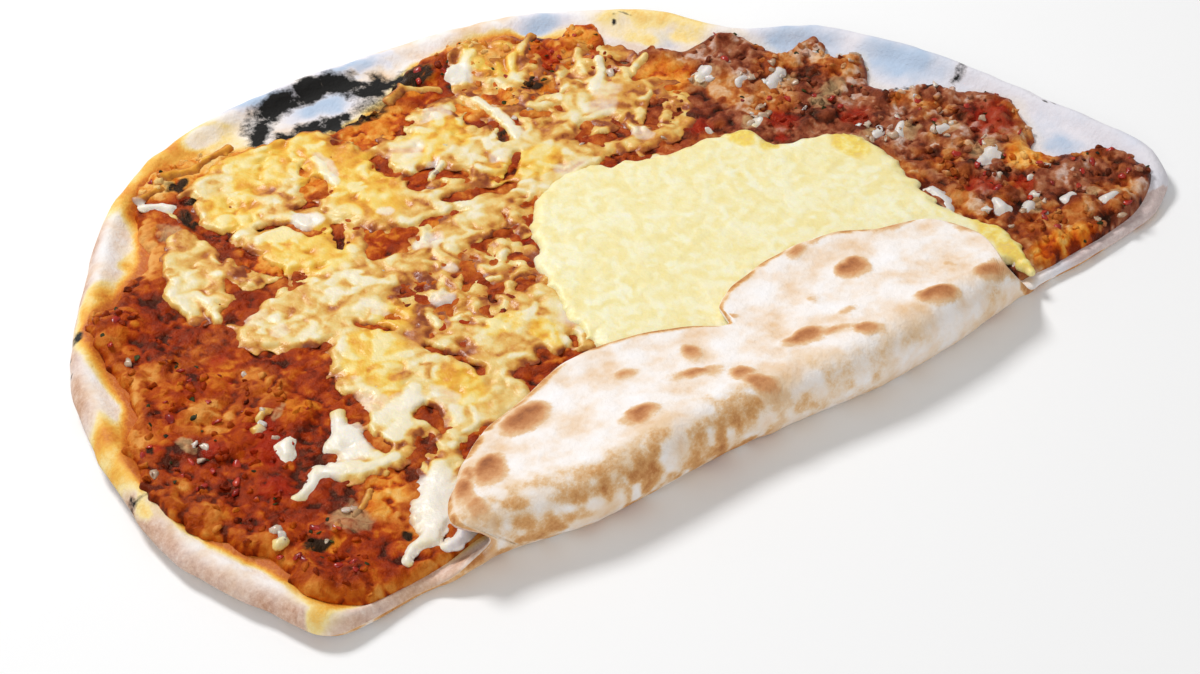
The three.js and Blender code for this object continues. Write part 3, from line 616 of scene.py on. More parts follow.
# crumbs of two sizes, each with its own tone, pushed together until only narrow gaps show
CRUMB_SORTS = [  # how many, least and greatest half length, least and greatest height
    (3600, 2.0, 4.2, 0.7, 1.25), (17000, 0.9, 2.1, 0.3, 1.2),
]
crumbs = np.zeros_like(GRID_X)
crumb_tone = np.full_like(GRID_X, 0.3)
grind = np.random.RandomState(7)
for count, least, most, low, high in CRUMB_SORTS:
    for _ in range(count):
        x, y = grind.uniform(-18, 272), grind.uniform(-12, 180)
        long = grind.uniform(least, most)
        near = window(x, y, long + 1)
        share = oval(WARP_X[near], WARP_Y[near], x, y, long, long * grind.uniform(0.5, 0.95),
                     grind.uniform(0, 180))
        dome = grind.uniform(low, high) * (1 - (1 - share) ** 2)
        over = dome > crumbs[near]
        crumbs[near][over] = dome[over]
        crumb_tone[near][over] = grind.uniform(0, 1)


def meat_top(x, y):
    """Height of the pressed mince without its lumps, thicker where it fills the fold."""
    packed = (PACKED * smooth((x - 50) / 12) * smooth((204 - x) / 12)
              * smooth((fold_line(x) + 8.5 - y) / 5))
    return table_top(x, y) + GAP + SINK + MEAT + packed


# the mince ends on the rim's slope, and along the fold just past the line where the sheet turns
RIM_MARGIN = 5.5
beef_bearing = np.linspace(-np.pi, np.pi, 3000, endpoint=False)
beef_reach = np.minimum(filling_edge(beef_bearing), dough_edge(beef_bearing) - RIM_MARGIN)
for _ in range(500):
    x = HUB[0] + beef_reach * np.cos(beef_bearing)
    past_fold = 3 - 1.5 * smooth((x - 30) / 12) * smooth((214 - x) / 10) - smooth((x - 214) / 10)
    past = (beef_bearing < 0) & (HUB[1] + beef_reach * np.sin(beef_bearing)
                                 < fold_line(x) - past_fold)
    beef_reach = np.where(past, beef_reach - 0.2, beef_reach)
beef_depth = (np.interp(np.arctan2(GRID_Y - HUB[1], GRID_X - HUB[0]), beef_bearing, beef_reach,
                        period=2 * np.pi) - np.hypot(GRID_X - HUB[0], GRID_Y - HUB[1]))
ragged_edge = 0.5 + 1.5 * mottle(GRID_X, GRID_Y, 5, 31) + 0.9 * mottle(GRID_X, GRID_Y, 2.2, 32)
beef_depth = beef_depth + ragged_edge * smooth((GRID_Y - 10) / 8)


def net_mesh(depth, pitch, box, least):
    """Triangles of a fine net over a box, cut where the depth falls to the least value."""
    x0, y0, x1, y1 = box
    rise = pitch * math.sqrt(3) / 2
    columns, lines = int((x1 - x0) / pitch), int((y1 - y0) / rise)
    j, i = np.mgrid[0:lines + 1, 0:columns + 1]
    x = (x0 + (i + (j % 2) / 2) * pitch).ravel()
    y = (y0 + j * rise).ravel()
    value = sample(depth, x, y) - least
    a = (j[:-1, :-1] * (columns + 1) + i[:-1, :-1]).ravel()
    shifted = (j[:-1, :-1] % 2 == 1).ravel()[:, None]
    c = a + columns + 1
    trio = np.concatenate([
        np.where(shifted, np.stack([a, c + 1, c], 1), np.stack([a, a + 1, c], 1)),
        np.where(shifted, np.stack([a, a + 1, c + 1], 1), np.stack([a + 1, c + 1, c], 1))])
    inside = value[trio] > 0
    count = inside.sum(1)
    faces = [trio[count == 3]]
    # a triangle that the border crosses is cut: each new corner is known by the side that it is on
    for want in (1, 2):
        pick, flags = trio[count == want], inside[count == want]
        single = np.argmax(flags if want == 1 else ~flags, 1)
        p, q, r = (pick[np.arange(len(pick)), (single + k) % 3] for k in range(3))
        pq = -(np.minimum(p, q) * len(x) + np.maximum(p, q)) - 1
        rp = -(np.minimum(p, r) * len(x) + np.maximum(p, r)) - 1
        faces += ([np.stack([p, pq, rp], 1)] if want == 1
                  else [np.stack([pq, q, r], 1), np.stack([pq, r, rp], 1)])
    used, index = np.unique(np.concatenate(faces), return_inverse=True)
    cut = used < 0
    lo, hi = np.divmod(-(used[cut] + 1), len(x))
    share = np.clip(value[lo] / (value[lo] - value[hi]), 0.12, 0.88)
    flat = np.empty((len(used), 2))
    flat[~cut] = np.stack([x[used[~cut]], y[used[~cut]]], 1)
    flat[cut, 0] = x[lo] + (x[hi] - x[lo]) * share
    flat[cut, 1] = y[lo] + (y[hi] - y[lo]) * share
    return flat[:, 0], flat[:, 1], cut, index.reshape(-1, 3)


def rim_sides(faces, total):
    """The sides of a net of triangles that belong to one triangle only, with the net on the left."""
    sides = np.concatenate([faces[:, [0, 1]], faces[:, [1, 2]], faces[:, [2, 0]]])
    alone = ~np.isin(sides[:, 0] * total + sides[:, 1], sides[:, 1] * total + sides[:, 0])
    return sides[alone]


MINCE_PITCH = 0.72
MINCE_EDGE = 0.25  # thickness at the layer's edge
flat_x, flat_y, cut, net = net_mesh(beef_depth, MINCE_PITCH, (-24, -12, 276, 186), 0)
under_flap = (flat_y < 14) & (flat_x > 40) & (flat_x < 206)
thin = np.clip(sample(beef_depth, flat_x, flat_y) / np.where(under_flap, 2, 6), 0, 1)
low = table_top(flat_x, flat_y) - SINK
coarse = 0.9 + 0.45 * smooth((flat_x - 175) / 30)
full = (meat_top(flat_x, flat_y) + sample(lumps, flat_x, flat_y) - low
        + coarse * sample(crumbs, flat_x, flat_y) - 0.35)
high = low + MINCE_EDGE + np.where(cut, 0, (full - MINCE_EDGE) * np.sqrt(1 - (1 - thin) ** 2))

# its underside is hidden, so a few rings from the edge to the hub close it
sides = rim_sides(net, len(flat_x))
rim_index = np.unique(sides)
order = np.full(len(flat_x), -1)
order[rim_index] = np.arange(len(rim_index))
p, q = order[sides].T
below = []
for share in (1, 0.9, 0.6, 0.25):
    x = HUB[0] + (flat_x[rim_index] - HUB[0]) * share
    y = HUB[1] + (flat_y[rim_index] - HUB[1]) * share
    below.append(np.stack([x, y, table_top(x, y) - SINK], 1))
first = len(flat_x)
meat_points = np.concatenate([np.stack([flat_x, flat_y, high], 1)] + below
                             + [np.array([[HUB[0], HUB[1], DOUGH - SINK]])])
meat_faces = net.tolist()
meat_faces += np.stack([sides[:, 0], first + p, first + q, sides[:, 1]], 1).tolist()
for k in range(3):
    a, b = first + k * len(rim_index), first + (k + 1) * len(rim_index)
    meat_faces += np.stack([a + p, b + p, b + q, a + q], 1).tolist()
a = first + 3 * len(rim_index)
meat_faces += np.stack([a + p, np.full(len(p), len(meat_points) - 1), a + q], 1).tolist()
mx, my = meat_points[:, 0], meat_points[:, 1]

# where the mince is redder, oilier, paler, charred or set with onion, as ovals on the layout; the charred
# ovals also hold one painted shadow, in the slit of the fold's left opening
RED_PLACES = [  # centre and reach
    (2, 64, 4), (14, 56, 8), (16, 64, 5), (8, 44, 6), (152, 141, 5), (163, 150, 8), (76, 68, 6),
    (102, 84, 2), (112, 87, 3), (60, 172, 4), (20, 92, 3), (-10, 72, 3), (248, 50, 9), (180, 98, 5),
    (201, 86, 6), (226, 30, 6), (236, 24, 5), (219, 75, 6), (196, 80, 3),
]
ORANGE_PLACES = [
    (163, 150, 8, 9, 0), (178, 153, 8, 6, 0), (149, 147, 9, 18, 0), (148, 168, 10, 4, 0),
    (132, 145, 8, 6, 0), (246, 32, 7, 6, 0), (228, 0, 12, 4, 0), (54, 165, 26, 7, 4),
    (106, 150, 13, 9, 0), (29, 27, 8, 6, 45), (186, 122, 9, 9, 0), (76, 141, 6, 5, 0),
    (50, 120, 6, 10, 0),
]
WARM_PLACES = [
    (24, 78, 5, 8, 0), (12, 98, 14, 4, 10), (8, 75, 8, 6, 0), (-10, 50, 4, 9, 0),
    (203, 95, 9, 7, 20), (229, 97, 7, 7, 0), (197, 106, 6, 8, 0), (216, 107, 8, 5, 0),
    (226, 45, 6, 5, 0), (232, 8, 14, 6, 0), (214, 45, 3, 10, 0),
]
SOAKED_PLACES = [(54, 167, 28, 7, 4), (150, 158, 9, 12, 0), (28, 143, 4, 12, -30)]
FILM_PLACES = [  # where a little cheese melted into it
    (35, 143, 4, 6, 0), (17.5, 24.5, 6, 6, 0), (-2.5, 69, 2.5, 3.5, 0), (238, 41, 6, 5, 20),
    (248, 10, 3, 2, 0), (254, 6, 3, 2, 0), (22, 66, 3, 2, 30), (226, 60, 4, 3, 0),
    (222, 88, 6, 4, 30), (214, 85, 3, 4, 0), (212, 101, 5, 4, 0), (193, 90, 4, 3, 0),
    (236, 55, 3, 3, 0), (232, 14, 4, 3, 0), (216, 66, 4, 3, 0), (195, 115, 5, 4, 0),
]
CHAR_AND_SLIT_SHADOW_PLACES = [
    (6.7, 22, 3.4, 3.2, 0), (45.7, 160.5, 3.5, 2, 10), (47.5, 152, 3, 2.2, 0),
    (42, 147, 2.4, 4, -10), (104, 159, 8, 4, -10), (112, 163, 8, 5, 0), (25.5, 13.5, 2, 1.6, 40),
    # (40, 0.5) is painted shadow: the dark slit inside the fold's left opening, not char
    (132, 127, 2.4, 3.4, 0), (40, 0.5, 12, 2.6, 0), (-10.5, 72, 1.6, 2, 0), (118, 165, 8, 6, -20),
    (127, 165.5, 7, 5.5, 0), (134, 154, 2.4, 2.4, 0), (153, 142, 4, 3, 0), (230, 38, 2, 1.4, 0),
    (46, 160, 2, 4, 20), (211, 31, 1.2, 2, 0), (206, 22, 1.6, 1.2, 0),
]
ONION_PLACES = [  # centre, half length and turn
    (194, 115, 6, 0), (211, 102, 7, 30), (195, 90, 5, 0), (224, 62, 7, 60), (234, 55, 5, 0),
    (216, 68, 6, 20), (231, 13, 7, 20), (246, 60, 4, 0), (-2, 66, 5, 20), (17, 25, 5, 30),
    (19, 66, 4, 0),
]
redness = np.max([bump((mx - x) / r) * bump((my - y) / r) for x, y, r in RED_PLACES], 0)
right_side = smooth((mx - 150) / 50) * smooth((150 - my) / 25)
paste = np.max([blotches(mx, my, ORANGE_PLACES), 0.45 * blotches(mx, my, WARM_PLACES),
                0.55 * bump(sample(beef_depth, mx, my) / 4) * (1 - smooth((mx - 170) / 40)),
                0.28 * smooth((sample(pools, mx, my) + 3) / 5) * (0.6 + 0.6 * mottle(mx, my, 5, 34))], 0)
onion_place = 0.02 + 0.07 * right_side + 0.6 * np.max([
    oval(mx, my, x, y, r, r * 0.6, turn) > 0 for x, y, r, turn in ONION_PLACES], 0)


def stain(tree, under, mark, noise, least, most, strength, colour):
    """A colour laid over another where a mark is high, with its border broken up by a noise."""
    level = maths(tree, "MULTIPLY", mark_of(tree, mark), noise)
    return lay(tree, stretch(tree, level, least, most, 0.0, strength), under, colour)


# Fried mince: irregular brown crumbs with a film of orange oil that gives small sharp glints,
# with painted shade darkening the gaps between them, redder where tomato and pepper were minced in.
fried_mince, tree, shader = start_material("fried_minced_beef")
fibre, shred, patchy = speckle(tree, 750, 5, 0.7), speckle(tree, 330, 3, 0.6, 0.6), speckle(tree, 85, 3, 0.6)
tone = between(tree, 0.34, between(tree, 0.5, fibre, shred), mark_of(tree, "tone"))
tone = between(tree, 0.26, tone, stretch(tree, patchy, 0.35, 0.65))
tone = maths(tree, "MULTIPLY_ADD", mark_of(tree, "soaked"), 0.16, tone)
# painted shade: the gaps between crumbs are darkened
tone = maths(tree, "MULTIPLY_ADD", mark_of(tree, "gap"), -0.22, tone)
mince_red = ramp(tree, tone, [
    (0.24, "400a02"), (0.36, "7a1d02"), (0.47, "982a02"), (0.58, "b44403"), (0.74, "dc7f20")])
mince_brown = ramp(tree, tone, [
    (0.24, "240a06"), (0.36, "5a2012"), (0.47, "883f26"), (0.58, "ac6c4a"), (0.72, "d8bcae")])
mince_orange = ramp(tree, tone, [
    (0.24, "7e2203"), (0.36, "c04b08"), (0.48, "dd7a1c"), (0.6, "eca444"), (0.78, "f5cc80")])
right_mark = mark_of(tree, "right_side")
glow = stretch(tree, speckle(tree, 62, 2), 0.52, 0.64, 0.0, 0.5)
orange_share = maths(tree, "MAXIMUM", maths(tree, "MULTIPLY", glow, right_mark), mark_of(tree, "paste"))
surface = lay(tree, orange_share, lay(tree, right_mark, mince_red, mince_brown), mince_orange)
surface = stain(tree, surface, "redness", shred, 0.2, 0.42, 0.7, hexed("a81c06"))
surface = stain(tree, surface, "film", shred, 0.25, 0.6, 0.75, hexed("cda878"))
# black char, and the painted shadow in the slit of the fold's left opening
surface = stain(tree, surface, "char_and_slit_shadow", shred, 0.15, 0.45, 1.0, hexed("1a0e06"))
plug(tree, shader, {
    "Base Color": surface, "Roughness": stretch(tree, patchy, 0.35, 0.65, 0.28, 0.55),
    "Specular IOR Level": 0.24, "Specular Tint": hexed("ffbe85"),
    "Normal": relief(tree, fibre, 0.6, 0.0007, relief(tree, shred, 0.6, 0.0012))})

beef = make_piece("minced_beef_layer", fried_mince, meat_points, meat_faces, {
    # gap: where the crumbs fall low, darkened with painted shade
    "tone": sample(crumb_tone, mx, my), "gap": 1 - smooth(sample(crumbs, mx, my) / 0.55),
    "right_side": right_side, "paste": np.clip(paste, 0, 1), "redness": redness,
    "film": blotches(mx, my, FILM_PLACES), "char_and_slit_shadow": blotches(mx, my, CHAR_AND_SLIT_SHADOW_PLACES),
    "soaked": blotches(mx, my, SOAKED_PLACES), "onion_place": onion_place,
    "bare": sample(bare, mx, my) * smooth(sample(beef_depth, mx, my) / 2)})
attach(beef, "root")
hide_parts("minced_beef")

# Smooth cheese
# A wide patch of soft white cheese that melted into one pale yellow sheet, smooth and a little
# glossy, with its shreds still showing in low relief and at the ragged edge.
SLAB = 2.1
SLAB_PITCH, SLAB_EDGE_RISE = 0.8, 0.5  # pitch of its net, and thickness at its edge
SLAB_LEVEL = 0.45  # it ends where the heaped shreds fall to this
SLAB_SHREDS = 1100


def lay_shred(field, tones, x, y, long, radius, degrees, bend, weight, tone):
    """Heap one bent shred on a field: heaps that overlap run together as they melt."""
    near = window(x, y, long / 2 + radius + 1.5)
    dx, dy = WARP_X[near] - x, WARP_Y[near] - y
    c, s = math.cos(math.radians(degrees)), math.sin(math.radians(degrees))
    u, v = dx * c + dy * s, dy * c - dx * s
    v = v - bend * (u * u / long - long / 12)
    u = np.maximum(np.abs(u) - long / 2 + radius * 0.5, 0)
    kernel = np.clip(1 - (u * u + v * v) / radius ** 2, 0, 1) ** 2
    field[near] += weight * kernel
    tones[near] += (tone - tones[near]) * np.clip(2.2 * kernel, 0, 1)


def sheet_between(flat_x, flat_y, cut, net, high, low, rim):
    """Points and faces of a closed sheet on a net: its top, its underside and its edge."""
    total = len(flat_x)
    high = np.where(cut, low + rim, np.maximum(high, low + rim))
    p, q = rim_sides(net, total).T
    points = np.concatenate([np.stack([flat_x, flat_y, high], 1),
                             np.stack([flat_x, flat_y, low], 1)])
    return points, (net.tolist() + (net[:, ::-1] + total).tolist()
                    + np.stack([p, p + total, q + total, q], 1).tolist())


grate = np.random.RandomState(19)
slab_field = 1.2 * smooth(slab / 6 + 0.6 + 0.3 * mottle(GRID_X, GRID_Y, 8, 44)
                          + 0.2 * mottle(GRID_X, GRID_Y, 3.4, 45))
slab_tone = 0.5 + 0.3 * mottle(GRID_X, GRID_Y, 12, 46) + 0.25 * mottle(GRID_X, GRID_Y, 4, 47)
laid = 0
while laid < SLAB_SHREDS:
    x, y = grate.uniform(95, 218), grate.uniform(-2, 104)
    if value_at(slab, x, y) < -0.2 or (y < 8 and x < 206):
        continue
    lay_shred(slab_field, slab_tone, x, y, grate.uniform(4, 11), grate.uniform(1.0, 1.7),
              grate.uniform(0, 180), grate.uniform(-0.5, 0.5), grate.uniform(0.08, 0.26),
              grate.uniform(0.25, 0.75))
    laid += 1
slab_field = slab_field * np.maximum(smooth((GRID_Y - 3.5) / 3), smooth((GRID_X - 206) / 4))
TONGUE = [(213.5, 3), (213, 0), (212.5, -3)]  # it ran down over the mince past the flap
for x, y in TONGUE:
    lay_shred(slab_field, slab_tone, x, y, 5, 3.4, 90, 0, 0.8, 0.3)
flat_x, flat_y, cut, net = net_mesh(slab_field, SLAB_PITCH, (90, -8, 224, 108), SLAB_LEVEL)
body = np.clip(sample(slab_field, flat_x, flat_y) - SLAB_LEVEL, 0, 9)
low = meat_top(flat_x, flat_y) + GAP - SLAB_EDGE_RISE
high = (low + SLAB_EDGE_RISE + (SLAB - 0.35) * np.sqrt(np.clip(body / 0.75, 0, 1))
        + 0.3 * np.clip(body - 0.75, 0, 1.5))
slab_points, slab_faces = sheet_between(flat_x, flat_y, cut, net, high, low, SLAB_EDGE_RISE)
sx, sy = slab_points[:, 0], slab_points[:, 1]

# Melted soft cheese: pale, slightly see-through and softly shiny, whiter where it is thick and
# yellower towards the thin edges.
soft_cheese, tree, shader = start_material("melted_soft_cheese")
curds = speckle(tree, 300, 4, 0.6)
pale = ramp(tree, between(tree, 0.45, curds, mark_of(tree, "tone")), [
    (0.2, "f0dc8a"), (0.42, "f5e7aa"), (0.58, "f8f0c6"), (0.8, "faf6e0")])
thin_colour = ramp(tree, curds, [(0.35, "e8bd4e"), (0.5, "f5d866"), (0.65, "fbeaa0")])
plug(tree, shader, {
    "Base Color": stain(tree, pale, "thin", curds, 0.15, 0.45, 1.0, thin_colour), "Roughness": 0.42,
    "IOR": 1.45, "Subsurface Weight": 0.25, "Subsurface Scale": 0.002,
    "Subsurface Radius": (1.0, 0.8, 0.4), "Normal": relief(tree, curds, 0.5, 0.0008)})

PALE_PLACES = [(196.5, 75, 4, 3, 0)]
YELLOW_PLACES = [(208, 65, 5, 8, 0), (186, 85, 5, 4, 0), (190, 78, 4, 3, 0), (215, 8, 5, 18, 0)]
patch = make_piece("soft_cheese_patch", soft_cheese, slab_points, slab_faces, {
    "tone": np.maximum(sample(slab_tone, sx, sy), blotches(sx, sy, PALE_PLACES)),
    "thin": np.maximum(0.45 * smooth(1 - sample(slab, sx, sy) / 4), blotches(sx, sy, YELLOW_PLACES))})
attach(patch, "root")
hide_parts("cheese_patch")

# Grated cheese
# Coarsely grated yellow cheese, melted into a net of pools and shreds with holes that show the
# meat: pale where shreds still stand up, golden where the net is thin over the oily beef.
NET_PITCH, NET_EDGE_RISE = 0.62, 0.35  # pitch of its mesh, and thickness at its edges
NET_LEVEL = 0.3  # it ends, or a hole begins, where the heaped shreds fall to this
NET_SHREDS = 800
MELT_POOLS = [  # where cheese lies: centre, half length, half breadth and turn
    (64, 148, 23, 14, 5), (87, 136, 13, 25, 4), (58, 117, 19, 18, 0), (31, 123, 8, 17, -14),
    (37, 134, 6, 8, 0), (111, 139, 17, 12, 15), (97, 117, 14, 9, 0), (58, 94, 29, 13, -4),
    (97, 94, 22, 12, 0), (89, 76, 24, 18, 0), (57, 58, 17, 27, 8), (36, 43, 14, 8, 20),
    (41, 22, 17, 6, 50), (89, 52, 21, 12, 8), (118, 109, 14, 9, 0), (132, 111, 20, 13, 0),
    (130, 127, 17, 11, 0), (166, 114, 22, 17, 0), (152, 124, 13, 10, 0), (147, 150, 15, 17, 0),
    (120, 147, 13, 6, 0), (172, 136, 14, 11, 20), (66, 41, 13, 10, 0), (102, 48, 9, 9, 0),
]
FILM_POOLS = [  # where it melted down to a film that lets crumbs of the mince through
    (89, 79, 22, 15, 0), (112, 91, 8, 5, 0), (92, 104, 12, 6, 0), (118, 109, 7, 5, 0),
    (47, 120, 6, 10, 0), (72, 117, 5, 6, 0), (184, 112, 8, 13, 0), (78, 137, 6, 5, 0),
    (97, 135, 3, 6, 0), (108, 153, 16, 10, 0), (155, 112, 9, 7, 0), (173, 110, 7, 8, 0),
    (154, 98, 7, 5, 0), (171, 94, 9, 5, 0), (51, 38, 6, 3, 0), (43, 32, 5, 6, 0), (76, 68, 7, 5, 0),
    (86, 42, 8, 5, 0), (106, 122, 7, 4, 0), (146, 128, 8, 6, 0), (56, 142, 4, 3, 0),
    (46, 108, 14, 4, 0), (45, 156, 5, 8, 0), (147, 150, 16, 18, 0), (177, 140, 13, 10, 0),
    (133, 140, 7, 9, 0), (30, 108, 6, 5, 0),
]
GAPS = [  # half breadth, then the line along which the mince shows between the pools
    (2.3, ((44, 162), (42, 152), (42, 141), (44, 131), (47, 122), (50, 113))), (1.0, ((56, 131), (62, 129))),
    (1.2, ((62, 129), (66, 122))), (1.5, ((70, 113), (73, 121))), (1.0, ((56, 83), (60, 80), (63, 75))),
    (1.2, ((67, 65), (70, 58), (72, 50))), (1.5, ((30, 109), (40, 108), (50, 109))),
    (1.6, ((104, 112), (112, 110), (122, 107))), (2.2, ((101, 123), (106, 126))),
    (1.8, ((80, 43), (88, 41), (94, 42))), (0.9, ((98, 43), (99, 46))), (1.7, ((38, 51), (39, 61))),
    (3.0, ((53, 42), (53, 45))), (1.6, ((37, 40), (37, 47))), (2.4, ((77, 136), (79, 140))),
    (1.0, ((78, 145), (79, 148))), (1.5, ((46, 157), (47, 163))), (0.9, ((44, 151), (47, 153))),
    (1.2, ((97, 132), (99, 139))), (2.0, ((100, 146), (104, 157))), (1.8, ((112, 150), (116, 157))),
    (1.6, ((152, 96), (157, 99))), (1.6, ((165, 93), (178, 95))), (1.6, ((150, 111), (161, 108))),
    (1.6, ((170, 106), (177, 114))), (1.8, ((132, 125), (134, 129))), (1.6, ((148, 128), (143, 132))),
    (1.5, ((124, 112), (130, 117))), (1.2, ((88, 78), (92, 84))), (1.3, ((100, 90), (108, 92))),
]
melt_depth = pool_depth(WARP_X, WARP_Y, MELT_POOLS)
melt_field = smooth(melt_depth / 4 + 0.6 + 0.3 * mottle(GRID_X, GRID_Y, 6, 51)
                    + 0.25 * mottle(GRID_X, GRID_Y, 3, 52))
melt_tone = 0.5 + 0.3 * mottle(GRID_X, GRID_Y, 7, 56) + 0.25 * mottle(GRID_X, GRID_Y, 3.5, 55)
melt_film = blotches(GRID_X, GRID_Y, FILM_POOLS)
melt_field *= (0.84 + 0.22 * mottle(GRID_X, GRID_Y, 5, 57) + 0.2 * mottle(GRID_X, GRID_Y, 2.4, 58)
               - 0.5 * melt_film)
laid = 0
while laid < NET_SHREDS:
    x, y = grate.uniform(18, 192), grate.uniform(0, 168)
    if value_at(melt_depth, x, y) < -0.5 or value_at(slab, x, y) > -1.5:
        continue
    lay_shred(melt_field, melt_tone, x, y, grate.uniform(3, 10), grate.uniform(1.2, 2.5),
              grate.uniform(0, 180), grate.uniform(-0.9, 0.9),
              grate.uniform(0.12, 0.4) * (1 - 0.3 * value_at(melt_film, x, y)), grate.uniform(0, 1))
    laid += 1
for half, line in GAPS:
    past = stroke(WARP_X, WARP_Y, line) - half
    melt_field *= 0.12 + 0.88 * smooth((past + 0.9 + 0.7 * mottle(GRID_X, GRID_Y, 2.4, 53)) / 1.9)
LONE_SHREDS = [  # centre, length, radius of the heap, turn, bend, how pale
    (17, 54, 8, 3.6, 62, 0, 1), (16, 40, 13, 3.2, 28, 0.2, 1), (25, 40, 9, 1.7, -20, 0, 1),
    (30, 37.5, 18, 1.9, -12, 0.2, 0.8), (47, 50, 12, 4, 0, 0, 1), (44, 44, 10, 3.4, 30, 0, 1),
    (53, 52, 8, 3.5, 60, 0, 0.9), (33, 53, 13, 3.2, 72, -0.3, 1), (28, 49, 8, 3, 15, 0, 1),
    (30, 9, 7, 3, 45, 0, 0.95),
    (35, 15, 11, 3.4, 55, 0.2, 0.95), (40, 21, 12, 4, 48, 0, 0.9), (36, 4, 8, 3.2, 30, 0, 1),
    (41, 5, 9, 2.8, 12, 0, 1), (25, 7, 10, 2.6, 38, 0, 1), (35, 4.5, 10, 2.8, 10, 0, 1),
    (43, 24, 9, 3.2, 60, 0, 0.8),
    (37.5, 155, 10, 2.3, -36, 0, 0.95), (28, 112, 14, 2.2, 100, 0.6, 0.6), (24, 121, 12, 2.2, 60, 0, 0.5),
    (136, 134, 23, 2.3, 86, 0.2, 0.9), (138, 156.5, 6, 3.2, 60, 0, 1),
    (143, 161, 10, 2.8, 35, 0, 0.8), (152, 150, 13, 1.9, 70, -0.5, 0.5), (162, 158, 11, 1.8, 30, 0, 0.3),
    (170, 142, 12, 1.8, 60, 0, 0.4), (171, 134, 16, 2.1, 45, 0.2, 0.95), (184, 131, 8, 2.2, 20, 0, 0.7),
    (126, 158, 11, 2.2, 140, 0, 0.5), (118, 160, 9, 2, 30, 0.4, 0.3), (213.5, 32, 13, 3.4, 72, 0.8, 1),
    (237, 39, 9, 4.4, 20, 0, 0.9), (224.5, 62, 6, 3.3, 40, 0, 1), (218.5, 66, 5, 2.9, 10, 0, 1),
    (235, 55, 5, 3, 0, 0, 0.9), (212, 102, 9, 3.2, 30, 0, 1), (203, 107, 5, 2.6, 0, 0, 1),
    (195.5, 117, 6, 3.6, 10, 0, 1), (194, 89.5, 5, 3.4, 0, 0, 1), (230.5, 16, 6, 3.2, 20, 0, 1),
    (242.5, 12, 6, 3.1, 10, 0, 1), (251, 5, 5, 2.8, 0, 0, 1), (224, 20, 6, 3.2, 60, 0, 1),
    (-1, 26.5, 5, 2.3, 10, 0, 1), (15, 64, 4, 1.9, 0, 0, 0.6), (19, 67, 5, 2.2, 20, 0, 0.6),
    (38, 161, 10, 1.9, 10, 0, 0.2), (52, 165, 16, 2.0, 5, 0.2, 0.15), (68, 162, 14, 1.9, -5, 0, 0.25),
    (50, 157, 12, 1.9, 8, 0, 0.2), (62, 167, 12, 1.7, 0, 0, 0.15), (76, 161, 10, 1.8, 0, 0, 0.3),
    (160, 92, 7, 3, 30, 0, 1),
    (108, 124.5, 8, 1.6, 30, 0, 1), (83, 143, 14, 1.6, 84, 0, 1), (24, 28, 9, 2, 30, 0, 0.3),
]
for x, y, long, radius, degrees, bend, pale_share in LONE_SHREDS:
    lay_shred(melt_field, melt_tone, x, y, long, radius, degrees, bend, 0.9, pale_share)
melt_field *= smooth((-slab + 2.5) / 3)
flat_x, flat_y, cut, net = net_mesh(melt_field, NET_PITCH, (-8, -3, 266, 172), NET_LEVEL)
body = np.clip(sample(melt_field, flat_x, flat_y) - NET_LEVEL, 0, 9)
low = meat_top(flat_x, flat_y) - SINK + 0.95 * sample(lumps, flat_x, flat_y)
high = low + NET_EDGE_RISE + 0.95 * smooth(body / 0.6) + 0.3 * np.clip(body - 0.4, 0, 1.5)
melt_points, melt_faces = sheet_between(flat_x, flat_y, cut, net, high, low, NET_EDGE_RISE)
gx, gy = melt_points[:, 0], melt_points[:, 1]
thickness = np.clip(sample(melt_field, gx, gy) - NET_LEVEL, 0, 2)

# Melted grated cheese: yellow and glossy with fat, golden orange where a thin film lets the
# meat through, and nearly white along shreds that stand clear. Its thin edges between shreds
# run to dark brown, partly the meat seen through and partly painted shade.
melted_shreds, tree, shader = start_material("melted_grated_cheese")
fat, broad_fat = speckle(tree, 380, 4, 0.6), speckle(tree, 110, 3, 0.6)
tone = between(tree, 0.35, between(tree, 0.65, broad_fat, mark_of(tree, "tone")), fat)
# thin parts run to dark brown: the meat seen through, deepened with painted shade between shreds
level = maths(tree, "MULTIPLY_ADD", mark_of(tree, "thickness"), 0.32, tone)
body_and_gap_shade_colour = ramp(tree, level, [
    (0.42, "8a3c10"), (0.51, "ba6c25"), (0.58, "d59438"), (0.66, "e3b259"), (0.74, "e9c97b"),
    (0.84, "ecd89f"), (0.96, "f0e4c4")])
golden_colour = ramp(tree, level, [
    (0.42, "cc7c18"), (0.54, "e69e26"), (0.66, "efba38"), (0.78, "f2ce60"), (0.92, "f2de98")])
surface = stain(tree, body_and_gap_shade_colour, "golden", broad_fat, 0.18, 0.44, 0.9, golden_colour)
surface = stain(tree, surface, "white", broad_fat, 0.25, 0.75, 0.9, hexed("f2ebdf"))
# painted grey shade on the cheese at the right end and in the fold's left opening
surface = lay(tree, mark_of(tree, "grey_shade"), surface, hexed("d4d0d4"))
plug(tree, shader, {
    "Base Color": surface, "Roughness": stretch(tree, fat, 0.3, 0.7, 0.25, 0.5), "IOR": 1.46,
    "Subsurface Weight": 0.2, "Subsurface Scale": 0.0015, "Subsurface Radius": (1.0, 0.7, 0.3),
    "Normal": relief(tree, fat, 0.45, 0.0008)})

